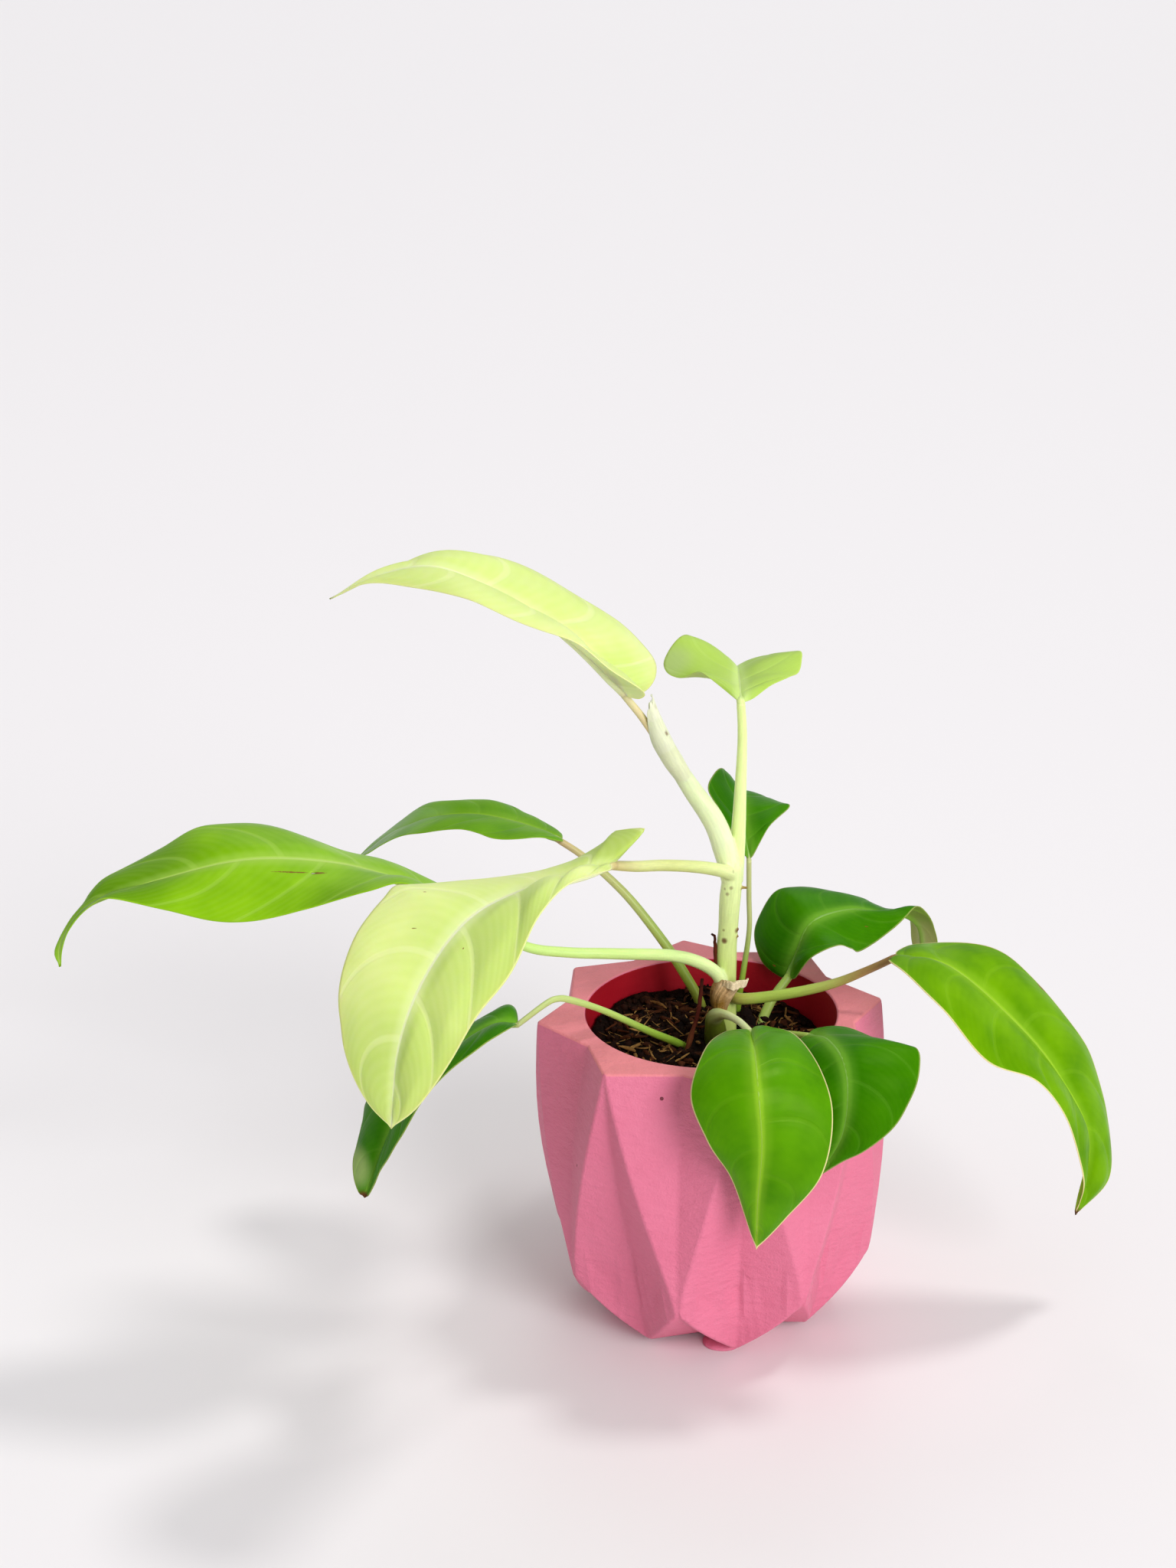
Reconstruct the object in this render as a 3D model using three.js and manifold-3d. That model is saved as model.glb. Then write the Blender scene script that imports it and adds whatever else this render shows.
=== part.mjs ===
// A lemon lime philodendron that grows in a faceted cement pot, in millimetres with +Z up.
// The origin is the centre of the pot's underside, on the surface that the pot stands on.
// The front looks along -Y, and +X is to the right of someone who faces it.

import * as THREE from 'three';
import { mergeVertices } from 'three/addons/utils/BufferGeometryUtils.js';
import Module from 'manifold-3d';

const wasm = await Module();
wasm.setup();

// Pot: eight folds round the axis, each a wide and a narrow panel that taper up or down
const potHeight = 112;
const folds = 8;
const foldAngle = 360 / folds;
const firstCorner = 6.4;
const rimCornerRadius = 60;
const rimValleyRadius = 49.5;
const rimValleyTurn = 24.9;
const bellyRadius = 56.6;
const bellyHeight = 26;
const bellyTurn = 24;
const baseCornerRadius = 39.7;
const baseCornerTurn = 2.6;
const baseValleyRadius = 28;
const baseValleyTurn = 31;
const openingRadius = 43;
const floorThickness = 12;
const roundSides = 48;

// Low foot that the pot stands on, with a lip of cement that ran out under the front corner
const footHeight = 2;
const footRadius = 26;
const lipRadius = 7;
const lipDistance = 32;
const lipAngle = 270;

// Three drain holes through the floor
const drainHoles = 3;
const drainHoleRadius = 3.5;
const drainHoleDistance = 16;

// Soil: a gently tilted, lumpy surface inside the pot
const clearance = 0.35;
const soilHeight = 99;
const soilSlopeX = -0.055;
const soilSlopeY = 0.06;
const soilRings = 9;
const soilBump = 0.9;
const chipCount = 34;
const crumbCount = 16;
const chipReach = 38;
const chipLength = [5, 13];
const chipWidth = [1.2, 2.4];
const chipThickness = 0.9;
const crumbRadius = [1, 2];

// Blades
const bladeThickness = 0.8;
const bladeRows = 16;
const bladeColumns = 4;
const ribSweep = 1.35;
const camber = 0.06;

// Stalks
const stalkSides = 8;
const stemSides = 12;
const stalkStep = 4.5;
const seedRadius = 0.1;

const colours = {
  cement: 0xe0708a,
  soil: 0x2b1a12,
  paleStem: 0xcfe08a,
  greenStem: 0x9fc04e,
  tanStem: 0xc9a878,
  dried: 0xa98457,
  reddish: 0x6b3a2c,
  lime: 0xd6ec86,
  limeGreen: 0xa8cf55,
  midGreen: 0x6aa81c,
  deepGreen: 0x3c8a12,
};

// Stems and petioles: the points that each one runs through, and its radius along the way
const stalks = {
  stem: {
    points: [[6, 10, 93], [6, 10, 115], [6, 10, 130], [6.5, 10, 137], [7, 10, 147], [8, 10, 158], [8, 10, 161]],
    radii: [3.6, 3.5, 3.3, 3.7, 3.4, 3.8, 3.4],
    sides: stemSides,
  },
  sheath: {
    points: [[7.5, 10, 156], [6, 10, 164], [2, 10, 176.5], [-5.5, 10, 188.5], [-12, 9, 199.5], [-17.5, 8.5, 211], [-20, 8, 221]],
    radii: [3.4, 3.6, 3.5, 3.3, 3.2, 3, 0.8],
    sides: stemSides,
  },
  tall: {
    points: [[9, 12, 154.5], [10, 14, 168], [11, 15, 189.5], [11.5, 16, 205.5], [11, 16, 217]],
    radii: [2.8, 2.6, 2.1, 1.7, 1.5],
  },
  left: {
    points: [[5, 8, 115], [2.5, 5, 123], [-4, 2, 129], [-14, -3, 134], [-33.5, -14, 140], [-48.5, -20, 143.5],
      [-61.5, -25, 148], [-73, -29, 157.5], [-83, -32, 166]],
    radii: [2.4, 2.3, 2.1, 2, 1.9, 1.8, 1.7, 1.5, 1.3],
  },
  pale: {
    points: [[8, 9, 158], [4.5, 4, 161.5], [-4, -8, 168], [-16, -28, 177], [-26, -48, 185], [-34, -64, 192]],
    radii: [2.4, 2.2, 2, 1.9, 1.8, 1.5],
  },
  right: {
    points: [[7, 9, 113], [10.5, 5, 113.5], [19, 4, 114.5], [32, 1, 118], [43.5, -1, 122], [55, -3, 128], [62, -4, 132]],
    radii: [2.2, 2, 1.9, 1.8, 1.6, 1.4, 1.3],
  },
  newest: {
    points: [[-12, 7, 204], [-18, 7, 210.5], [-22.5, 8, 216], [-28, 8, 223]],
    radii: [1.2, 1.3, 1.3, 1.2],
  },
  rear: {
    points: [[10, 24, 92], [11.5, 24, 106], [13, 25, 115.5], [15, 27, 129.5], [15, 29, 141.5], [15, 30, 155]],
    radii: [1.1, 1.1, 1, 0.9, 0.9, 0.9],
  },
  rear_left: {
    points: [[0, 28, 94], [-3, 29, 103], [-6.5, 30.5, 109.5], [-13.5, 34, 120.5], [-24.5, 38, 135], [-33, 40.5, 144],
      [-43, 43, 152.5], [-51, 44, 158]],
    radii: [1.9, 1.8, 1.8, 1.7, 1.6, 1.5, 1.3, 1.2],
  },
  hanging: {
    points: [[-5, 2.5, 93], [-10.5, -1, 99.5], [-21, -7, 107.5], [-36.5, -17, 120.5], [-47.5, -25, 128.5],
      [-52, -28, 130.5], [-56, -31, 130], [-65, -40, 127]],
    radii: [1.5, 1.4, 1.3, 1.2, 1.1, 1.2, 1, 0.9],
  },
  front: {
    points: [[2.5, 2, 93], [1.5, 1, 99], [0.5, -1, 107], [1, -4, 112.5], [4, -11, 116.5], [8, -22, 119.5], [11, -34, 120]],
    radii: [3.2, 3, 2.5, 1.9, 1.6, 1.5, 1.3],
  },
  front_right: {
    points: [[12, 5, 93], [13.5, 3, 100], [16, -2, 107], [20, -11, 112], [25, -19, 114.5], [31, -28, 115]],
    radii: [1.7, 1.6, 1.5, 1.4, 1.3, 1.2],
  },
  curled: {
    points: [[14.5, 15.5, 90], [17.5, 16.5, 96], [22.5, 20, 105.5], [29, 24, 113]],
    radii: [1.8, 1.8, 1.7, 1.5],
  },
};

// Petioles that grow from the stem above the soil and are one body with it
const stemGroup = ['stem', 'sheath', 'tall', 'left', 'pale', 'right'];

// Leaves: midrib from petiole to tip, then the left and right margins as seen from above along the midrib
const leaves = {
  newest_leaf: {
    stalk: 'newest', colour: colours.lime, wave: [0.5, 3],
    rib: [[-28, 8, 223], [-36, 10, 232], [-47, 13, 242], [-60, 17, 251], [-87, 24, 263], [-107, 30, 260], [-126, 34, 251]],
    left: [[-23, 4, 223], [-22, 0, 227], [-32, -6, 236], [-41, -9, 244], [-49, -10, 249], [-63, -6, 254], [-78, 2, 258],
      [-95, 14, 259], [-112, 26, 258]],
    right: [[-21, 12, 223], [-17, 18, 227], [-19, 28, 231], [-31, 38, 241], [-48, 41, 252], [-66, 40, 261], [-85, 39, 264],
      [-105, 37, 260]],
  },
  tall_leaf: {
    stalk: 'tall', colour: colours.limeGreen, wave: [0.4, 2],
    rib: [[11, 16, 217], [12, 36, 217], [13, 62, 215], [14, 88, 206], [16, 110, 192]],
    left: [[7, 20, 219], [-2, 32, 224], [-10, 42, 219], [-13, 52, 221], [-9, 64, 223], [0, 84, 217], [10, 102, 203]],
    right: [[15, 20, 219], [24, 32, 219], [32, 44, 219], [35, 56, 221], [29, 76, 214], [23, 98, 204]],
  },
  rear_leaf: {
    stalk: 'rear', colour: colours.deepGreen, wave: [0.4, 2],
    rib: [[15, 30, 155], [14, 42, 163], [14, 60, 168], [16, 82, 161], [18, 102, 145]],
    left: [[12, 30, 159], [6, 38, 169], [2, 46, 175], [4, 56, 177], [8, 68, 175], [14, 90, 159]],
    right: [[18, 31, 158], [24, 40, 163], [30, 50, 165], [30, 62, 165], [25, 80, 159], [22, 96, 151]],
  },
  left_leaf: {
    stalk: 'left', colour: colours.midGreen, wave: [0.7, 3],
    rib: [[-83, -32, 166], [-101, -34, 176], [-122, -35, 183], [-149, -36, 185], [-176, -36, 179], [-202, -36, 169],
      [-212, -34, 148]],
    left: [[-83, -42, 168], [-95, -54, 182], [-109, -60, 183], [-128, -60, 177], [-150, -58, 173], [-173, -52, 175],
      [-197, -42, 174], [-207, -38, 162]],
    right: [[-82, -24, 166], [-92, -16, 168], [-109, -10, 174], [-126, -6, 175], [-146, -8, 185], [-165, -14, 187.5],
      [-186, -24, 179.5], [-203, -32, 169], [-213, -34, 154]],
  },
  pale_leaf: {
    stalk: 'pale', colour: colours.lime, wave: [0.6, 3],
    rib: [[-34, -64, 192], [-47, -76, 193], [-63, -90, 194], [-77, -104, 191], [-89, -116, 178], [-96, -124, 161],
      [-99, -126, 137]],
    left: [[-35, -74, 194], [-46, -96, 200], [-55, -112, 196], [-63, -122, 184], [-72, -127, 174], [-81, -129, 159],
      [-91, -129, 145]],
    right: [[-23, -50, 198], [-33, -48, 197], [-50, -56, 190], [-71, -66, 187], [-91, -80, 194], [-106, -98, 189],
      [-113, -110, 174], [-112, -119, 159], [-105, -124, 143]],
  },
  rear_left_leaf: {
    stalk: 'rear_left', colour: colours.deepGreen, wave: [0.7, 3],
    rib: [[-50, 44, 158], [-65, 54, 161], [-84, 64, 161], [-104, 72, 155], [-126, 78, 140]],
    left: [[-53, 36, 161], [-62, 30, 165], [-72, 34, 163], [-86, 44, 163], [-101, 56, 157], [-115, 68, 148]],
    right: [[-50, 54, 157], [-56, 66, 158], [-68, 76, 160], [-82, 82, 161], [-98, 84, 158], [-113, 82, 149]],
  },
  hanging_leaf: {
    stalk: 'hanging', colour: colours.deepGreen, wave: [0.5, 3],
    rib: [[-65, -40, 127], [-73, -46, 130], [-86, -52, 124], [-101, -56, 110], [-116, -54, 73]],
    left: [[-66, -50, 130], [-73, -60, 131], [-82, -66, 127], [-91, -70, 119], [-99, -70, 109], [-106, -64, 92]],
    right: [[-65, -34, 129], [-70, -30, 130], [-79, -32, 125], [-94, -36, 117], [-110, -38, 103], [-119, -44, 88],
      [-120, -50, 80]],
  },
  front_leaf: {
    stalk: 'front', colour: colours.midGreen, wave: [0.5, 3],
    rib: [[11, -34, 120], [11, -54, 123], [11, -69, 117], [12, -73, 99], [11, -71, 78], [11, -66, 58]],
    left: [[14, -30, 120], [18, -32, 121], [25, -42, 122], [32, -56, 117], [35, -66, 106], [31, -72, 88], [20, -70, 71]],
    right: [[8, -32, 120], [2, -36, 121], [-5, -50, 121], [-10, -63, 112], [-5, -68, 99], [2, -68, 87], [7, -67, 71]],
  },
  front_right_leaf: {
    stalk: 'front_right', colour: colours.deepGreen, wave: [0.5, 3],
    rib: [[31, -28, 115], [35, -42, 121], [39, -56, 120], [40, -62, 110], [38, -62, 95], [31, -58, 79]],
    left: [[34, -24, 116], [44, -28, 117], [56, -38, 117], [64, -50, 119], [62, -60, 112], [54, -64, 99], [41, -62, 88]],
    right: [[29, -30, 116], [24, -40, 117], [23, -50, 113], [24, -56, 105], [26, -58, 95], [28, -58, 86]],
  },
  curled_leaf: {
    stalk: 'curled', colour: colours.deepGreen, wave: [0.8, 3],
    rib: [[29, 24, 113], [32, 26, 122], [37, 30, 131], [52, 40, 131], [68, 50, 126], [84, 60, 114], [99, 66, 96]],
    left: [[26, 28, 111], [20, 36, 114], [18, 44, 123], [26, 50, 134], [42, 56, 132], [60, 62, 124], [78, 68, 119],
      [89, 70, 109]],
    right: [[31, 20, 114], [36, 14, 125], [45, 16, 128], [53, 24, 122], [63, 34, 122], [71, 44, 119], [85, 56, 105]],
  },
  right_leaf: {
    stalk: 'right', colour: colours.midGreen, wave: [0.6, 3],
    rib: [[62, -4, 132], [80, -8, 130], [102, -12, 111], [117, -14, 92], [129, -14, 67], [127, -10, 35]],
    left: [[64, 2, 132], [73, 10, 131], [97, 14, 127], [115, 11, 113], [131, 5, 93], [138, 0, 67], [139, -6, 47]],
    right: [[59, -10, 134], [63, -20, 134], [74, -32, 125], [89, -36, 109], [106, -32, 99], [118, -28, 81], [127, -19, 54]],
  },
};

// Dried pieces at the foot of the stem: a papery sheath and two thin withered stalks
const paperSheath = {
  colour: colours.dried, wave: [0.3, 2],
  rib: [[6, 0, 100], [5, -1, 106], [6, 0, 112], [9, 2, 116], [14, 4, 120]],
  left: [[2, 2, 102], [0, 3, 108], [0, 4, 114], [5, 5, 119]],
  right: [[9, 2, 101], [10, 1, 106], [11, 1.5, 110], [13, 3, 115]],
};
const witheredStalk = { points: [[-8.5, -4.5, 93], [-7, -2, 100], [-4, 3.5, 110], [-2.5, 8, 119]], radii: [1, 0.9, 0.8, 0.6] };
const witheredStrip = { points: [[1.4, 10, 126], [1.6, 9.8, 131], [2, 9.6, 136.5]], radii: [0.6, 0.6, 0.5] };

// Random draws that come out the same each time
function seededRandom(seed) {
  let state = seed;
  return () => {
    state = (state * 1664525 + 1013904223) % 4294967296;
    return state / 4294967296;
  };
}

function between(random, [low, high]) {
  return low + (high - low) * random();
}

function polar(radius, degrees, z) {
  const angle = THREE.MathUtils.degToRad(degrees);
  return new THREE.Vector3(radius * Math.cos(angle), radius * Math.sin(angle), z);
}

function smoothCurve(points) {
  return new THREE.CatmullRomCurve3(points.map((p) => new THREE.Vector3(...p)), false, 'catmullrom', 0.5);
}

// Closed triangle mesh from corner points and triangles, turned outwards if it is inside out
function closedGeometry(corners, triangles) {
  let volume = 0;
  for (const [a, b, c] of triangles) {
    volume += corners[a].dot(corners[b].clone().cross(corners[c]));
  }
  const faces = volume > 0 ? triangles : triangles.map(([a, b, c]) => [a, c, b]);
  const geometry = new THREE.BufferGeometry();
  geometry.setAttribute('position', new THREE.Float32BufferAttribute(corners.flatMap((p) => p.toArray()), 3));
  geometry.setIndex(faces.flat());
  return geometry;
}

function solid(geometry) {
  const bare = geometry.clone();
  bare.deleteAttribute('normal');
  bare.deleteAttribute('uv');
  const merged = mergeVertices(bare, 1e-4);
  const triangles = [];
  const index = merged.index.array;
  for (let i = 0; i < index.length; i += 3) {
    const [a, b, c] = index.slice(i, i + 3);
    if (a !== b && b !== c && c !== a) {
      triangles.push(a, b, c);
    }
  }
  return new wasm.Manifold(new wasm.Mesh({
    numProp: 3,
    vertProperties: new Float32Array(merged.attributes.position.array),
    triVerts: new Uint32Array(triangles),
  }));
}

function geometryOf(manifold) {
  const mesh = manifold.getMesh();
  const geometry = new THREE.BufferGeometry();
  geometry.setAttribute('position', new THREE.BufferAttribute(mesh.vertProperties, 3));
  geometry.setIndex(new THREE.BufferAttribute(mesh.triVerts, 1));
  geometry.computeVertexNormals();
  return geometry;
}

// The biggest body of a cut, without the scraps
function mainBody(manifold) {
  return manifold.decompose().reduce((best, body) => (body.volume() > best.volume() ? body : best));
}

function joined(solids) {
  return solids.reduce((whole, piece) => whole.add(piece));
}

// Tapered round stalk: a thin thread along the path, then widened step by step to the radii
function stalk({ points, radii, sides = stalkSides }, extra = 0) {
  const path = smoothCurve(points);
  const steps = Math.max(points.length, Math.round(path.getLength() / stalkStep));
  const ring = Array.from({ length: sides }, (_, i) => {
    const angle = (2 * Math.PI * i) / sides;
    return new THREE.Vector2(seedRadius * Math.cos(angle), seedRadius * Math.sin(angle));
  });
  const geometry = new THREE.ExtrudeGeometry(new THREE.Shape(ring), { steps, extrudePath: path, bevelEnabled: false });
  const centres = path.getSpacedPoints(steps);
  const position = geometry.attributes.position;
  const corner = new THREE.Vector3();
  for (let i = 0; i < position.count; i += 1) {
    corner.fromBufferAttribute(position, i);
    let nearest = 0;
    centres.forEach((centre, step) => {
      if (centre.distanceToSquared(corner) < centres[nearest].distanceToSquared(corner)) {
        nearest = step;
      }
    });
    const place = (nearest / steps) * (radii.length - 1);
    const before = Math.min(Math.floor(place), radii.length - 2);
    const radius = THREE.MathUtils.lerp(radii[before], radii[before + 1], place - before) + extra;
    corner.sub(centres[nearest]).multiplyScalar(radius / seedRadius).add(centres[nearest]);
    position.setXYZ(i, corner.x, corner.y, corner.z);
  }
  return solid(geometry);
}

// The middle surface of a blade: rows run from the midrib out to both margins and sweep towards the tip
function bladeGrid({ rib, left, right, wave }) {
  const ribCurve = smoothCurve(rib);
  const margins = [left, right].map((margin) => smoothCurve([rib[0], ...margin, rib.at(-1)]));
  const [waveHeight, waveCount] = wave;
  const rows = [];
  for (let i = 0; i <= bladeRows; i += 1) {
    const along = i / bladeRows;
    const ribPlace = along ** ribSweep;
    const centre = ribCurve.getPointAt(ribPlace);
    const tangent = ribCurve.getTangentAt(THREE.MathUtils.clamp(ribPlace, 0.01, 0.99));
    const row = [];
    for (let j = -bladeColumns; j <= bladeColumns; j += 1) {
      const side = j < 0 ? 0 : 1;
      const across = Math.abs(j) / bladeColumns;
      const reach = margins[side].getPoint(along).sub(centre);
      const up = side === 0 ? tangent.clone().cross(reach) : reach.clone().cross(tangent);
      up.normalize();
      const arch = camber * reach.length() * 4 * across * (1 - across);
      const ripple = waveHeight * across ** 2 * Math.sin(Math.PI * along) * Math.sin(2 * Math.PI * waveCount * along + side);
      row.push(centre.clone().addScaledVector(reach, across).addScaledVector(up, arch + ripple));
    }
    rows.push(row);
  }
  return rows;
}

// Closed blade of even thickness, with the same triangles on both faces
function blade(spec) {
  const rows = bladeGrid(spec);
  const lastRow = bladeRows;
  const width = 2 * bladeColumns + 1;
  const single = (i) => i === 0 || i === lastRow;
  const middle = [];
  const number = rows.map((row, i) => row.map((corner, j) => {
    if (single(i) && j > 0) {
      return middle.length - 1;
    }
    middle.push(corner);
    return middle.length - 1;
  }));
  const faces = [];
  for (let i = 0; i < lastRow; i += 1) {
    for (let j = 0; j < width - 1; j += 1) {
      const [a, b] = [number[i][j], number[i][j + 1]];
      const [c, d] = [number[i + 1][j + 1], number[i + 1][j]];
      const pair = j < bladeColumns ? [[a, b, d], [b, c, d]] : [[a, b, c], [a, c, d]];
      faces.push(...pair.filter(([p, q, r]) => p !== q && q !== r && r !== p));
    }
  }
  const normals = middle.map(() => new THREE.Vector3());
  for (const [a, b, c] of faces) {
    const normal = middle[b].clone().sub(middle[a]).cross(middle[c].clone().sub(middle[a]));
    [a, b, c].forEach((k) => normals[k].add(normal));
  }
  const half = bladeThickness / 2;
  const top = middle.map((corner, k) => corner.clone().addScaledVector(normals[k].normalize(), half));
  const bottom = middle.map((corner, k) => corner.clone().addScaledVector(normals[k], -half));
  const under = middle.length;
  const triangles = [...faces, ...faces.map(([a, b, c]) => [a + under, c + under, b + under])];
  for (const j of [0, width - 1]) {
    for (let i = 0; i < lastRow; i += 1) {
      const [a, b] = j === 0 ? [number[i][j], number[i + 1][j]] : [number[i + 1][j], number[i][j]];
      triangles.push([a, b, a + under], [b, b + under, a + under]);
    }
  }
  return solid(closedGeometry([...top, ...bottom], triangles));
}

// Outside of the pot as one closed shape of flat panels
function pot() {
  const corners = [new THREE.Vector3(0, 0, potHeight), new THREE.Vector3(0, 0, footHeight)];
  const triangles = [];
  const ring = { corner: [], valley: [], belly: [], base: [], notch: [] };
  const place = (list, point) => list.push(corners.push(point) - 1);
  for (let k = 0; k < folds; k += 1) {
    const angle = firstCorner + k * foldAngle;
    place(ring.corner, polar(rimCornerRadius, angle, potHeight));
    place(ring.valley, polar(rimValleyRadius, angle + rimValleyTurn, potHeight));
    place(ring.belly, polar(bellyRadius, angle + bellyTurn, bellyHeight));
    place(ring.base, polar(baseCornerRadius, angle + baseCornerTurn, footHeight));
    place(ring.notch, polar(baseValleyRadius, angle + baseValleyTurn, footHeight));
  }
  for (let k = 0; k < folds; k += 1) {
    const next = (k + 1) % folds;
    const [corner, nextCorner] = [ring.corner[k], ring.corner[next]];
    const [belly, nextBelly] = [ring.belly[k], ring.belly[next]];
    const [base, nextBase] = [ring.base[k], ring.base[next]];
    const [valley, notch] = [ring.valley[k], ring.notch[k]];
    triangles.push([0, corner, valley], [0, valley, nextCorner]);
    triangles.push([corner, belly, valley], [valley, belly, nextCorner]);
    triangles.push([nextCorner, belly, nextBase], [nextCorner, nextBase, nextBelly]);
    triangles.push([belly, base, notch], [belly, notch, nextBase]);
    triangles.push([1, notch, base], [1, nextBase, notch]);
  }
  const shell = solid(closedGeometry(corners, triangles));

  const foot = turned([[0, 0], [footRadius, 0], [footRadius, footHeight + 1], [0, footHeight + 1]]);
  const lip = turned([[0, 0], [lipRadius - 1, 0], [lipRadius, 1], [lipRadius - 2, footHeight + 1], [0, footHeight + 1]])
    .translate(...polar(lipDistance, lipAngle, 0).toArray());
  const cavity = turned([...cavityProfile(0), [openingRadius + 0.1, potHeight + 1], [0, potHeight + 1]]);
  let body = shell.add(foot).add(lip).subtract(cavity);
  for (let i = 0; i < drainHoles; i += 1) {
    const hole = turned([[0, -1], [drainHoleRadius, -1], [drainHoleRadius, floorThickness + 1], [0, floorThickness + 1]], 24);
    body = body.subtract(hole.translate(...polar(drainHoleDistance, 90 + (360 / drainHoles) * i, 0).toArray()));
  }
  return body;
}

// Inside of the pot from its middle up to the rim, moved inwards by a gap
function cavityProfile(gap) {
  return [
    [0, floorThickness + gap],
    [25 - gap, floorThickness + gap],
    [32 - gap, 16 + gap],
    [37.5 - gap, 26 + gap],
    [40 - gap, 42],
    [openingRadius - gap, potHeight],
  ];
}

// Round solid from a profile of radius and height
function turned(profile, sides = roundSides) {
  const geometry = new THREE.LatheGeometry(profile.map(([r, z]) => new THREE.Vector2(r, z)), sides);
  geometry.rotateX(Math.PI / 2);
  return solid(geometry);
}

function soilLevel(x, y) {
  const lumps = Math.sin(0.21 * x + 1) * Math.cos(0.19 * y) + 0.6 * Math.sin(0.37 * x - 0.31 * y + 2);
  return soilHeight + soilSlopeX * x + soilSlopeY * y + soilBump * lumps;
}

// Chips of bark lie about on the soil, with crumbs between them
function soilPieces() {
  const random = seededRandom(11);
  const pieces = [];
  for (let i = 0; i < chipCount; i += 1) {
    const length = between(random, chipLength);
    const reach = (chipReach - length / 2) * Math.sqrt(random());
    const spot = polar(reach, 360 * random(), 0);
    const chip = new THREE.BoxGeometry(length, between(random, chipWidth), chipThickness);
    chip.rotateX(0.5 * (random() - 0.5));
    chip.rotateY(0.24 * (random() - 0.5));
    chip.rotateZ(Math.PI * random());
    chip.translate(spot.x, spot.y, soilLevel(spot.x, spot.y) + 0.1);
    pieces.push(solid(chip));
  }
  for (let i = 0; i < crumbCount; i += 1) {
    const radius = between(random, crumbRadius);
    const spot = polar(chipReach * Math.sqrt(random()), 360 * random(), 0);
    const crumb = new THREE.IcosahedronGeometry(radius, 0);
    crumb.rotateZ(Math.PI * random());
    crumb.translate(spot.x, spot.y, soilLevel(spot.x, spot.y) - 0.2 * radius);
    pieces.push(solid(crumb));
  }
  return pieces;
}

function soil() {
  const profile = cavityProfile(clearance);
  const [rimRadius] = profile.at(-1);
  const [lowRadius, lowHeight] = profile.at(-2);
  const wallRadius = THREE.MathUtils.mapLinear(soilHeight, lowHeight, potHeight, lowRadius, rimRadius) - 0.2;
  const corners = [];
  const triangles = [];
  const rings = [];
  const addRing = (radius, height) => {
    const ring = [];
    for (let i = 0; i < roundSides; i += 1) {
      const corner = polar(radius, (360 * i) / roundSides, 0);
      corner.z = height(corner.x, corner.y);
      ring.push(corners.push(corner) - 1);
    }
    rings.push(ring);
  };
  corners.push(new THREE.Vector3(0, 0, profile[0][1]));
  profile.slice(1, -1).forEach(([radius, z]) => addRing(radius, () => z));
  for (let i = 0; i < soilRings; i += 1) {
    addRing(wallRadius * (1 - i / soilRings), soilLevel);
  }
  corners.push(new THREE.Vector3(0, 0, soilLevel(0, 0)));
  for (let i = 0; i < roundSides; i += 1) {
    const next = (i + 1) % roundSides;
    triangles.push([0, rings[0][next], rings[0][i]]);
    for (let k = 0; k + 1 < rings.length; k += 1) {
      const [low, high] = [rings[k], rings[k + 1]];
      triangles.push([low[i], low[next], high[next]], [low[i], high[next], high[i]]);
    }
    triangles.push([corners.length - 1, rings.at(-1)[i], rings.at(-1)[next]]);
  }
  return joined([solid(closedGeometry(corners, triangles)), ...soilPieces()]);
}

// Each sub-part is a mesh of one closed body with its own material
const philodendron = new THREE.Group();

function addPart(name, body, colour, roughness = 0.5) {
  const material = new THREE.MeshStandardMaterial({ color: colour, roughness, metalness: 0 });
  const mesh = new THREE.Mesh(geometryOf(body), material);
  mesh.name = name;
  philodendron.add(mesh);
}

const roomy = (names) => joined(names.map((name) => stalk(stalks[name], clearance)));
const soilStalks = Object.keys(stalks).filter((name) => !stemGroup.includes(name) && name !== 'newest');
const roomyStem = roomy(stemGroup);

addPart('pot', pot(), colours.cement, 0.8);
addPart('soil', mainBody(soil()
  .subtract(roomy(['stem', ...soilStalks]))
  .subtract(stalk(witheredStalk, clearance))
  .subtract(blade(paperSheath).translate(0, 0, -clearance))), colours.soil, 1);
addPart('main_stem', joined(stemGroup.map((name) => stalk(stalks[name]))), colours.paleStem);
addPart('newest_petiole', mainBody(stalk(stalks.newest).subtract(roomyStem)), colours.tanStem);
for (const name of soilStalks) {
  addPart(`${name}_petiole`, stalk(stalks[name]), colours.greenStem);
}
for (const [name, leaf] of Object.entries(leaves)) {
  addPart(name, mainBody(blade(leaf).subtract(stalk(stalks[leaf.stalk], clearance))), leaf.colour, 0.4);
}
addPart('paper_sheath', mainBody(blade(paperSheath).subtract(roomyStem).subtract(roomy(['front', 'front_right']))),
  colours.dried, 0.9);
addPart('withered_stalk', mainBody(stalk(witheredStalk).subtract(roomyStem)), colours.reddish, 0.9);
addPart('withered_strip', mainBody(stalk(witheredStrip).subtract(roomyStem)), colours.reddish, 0.9);

export default philodendron;
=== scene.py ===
"""Dresses a potted lemon lime philodendron: waxy leaves, juicy stalks, potting mix and a painted cement pot."""

import logging
import math
import random
from bisect import bisect_right
from collections.abc import Sequence
from dataclasses import dataclass, field
from enum import Enum

import bmesh
import bpy
import numpy as np
from mathutils import Matrix, Vector, noise

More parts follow.
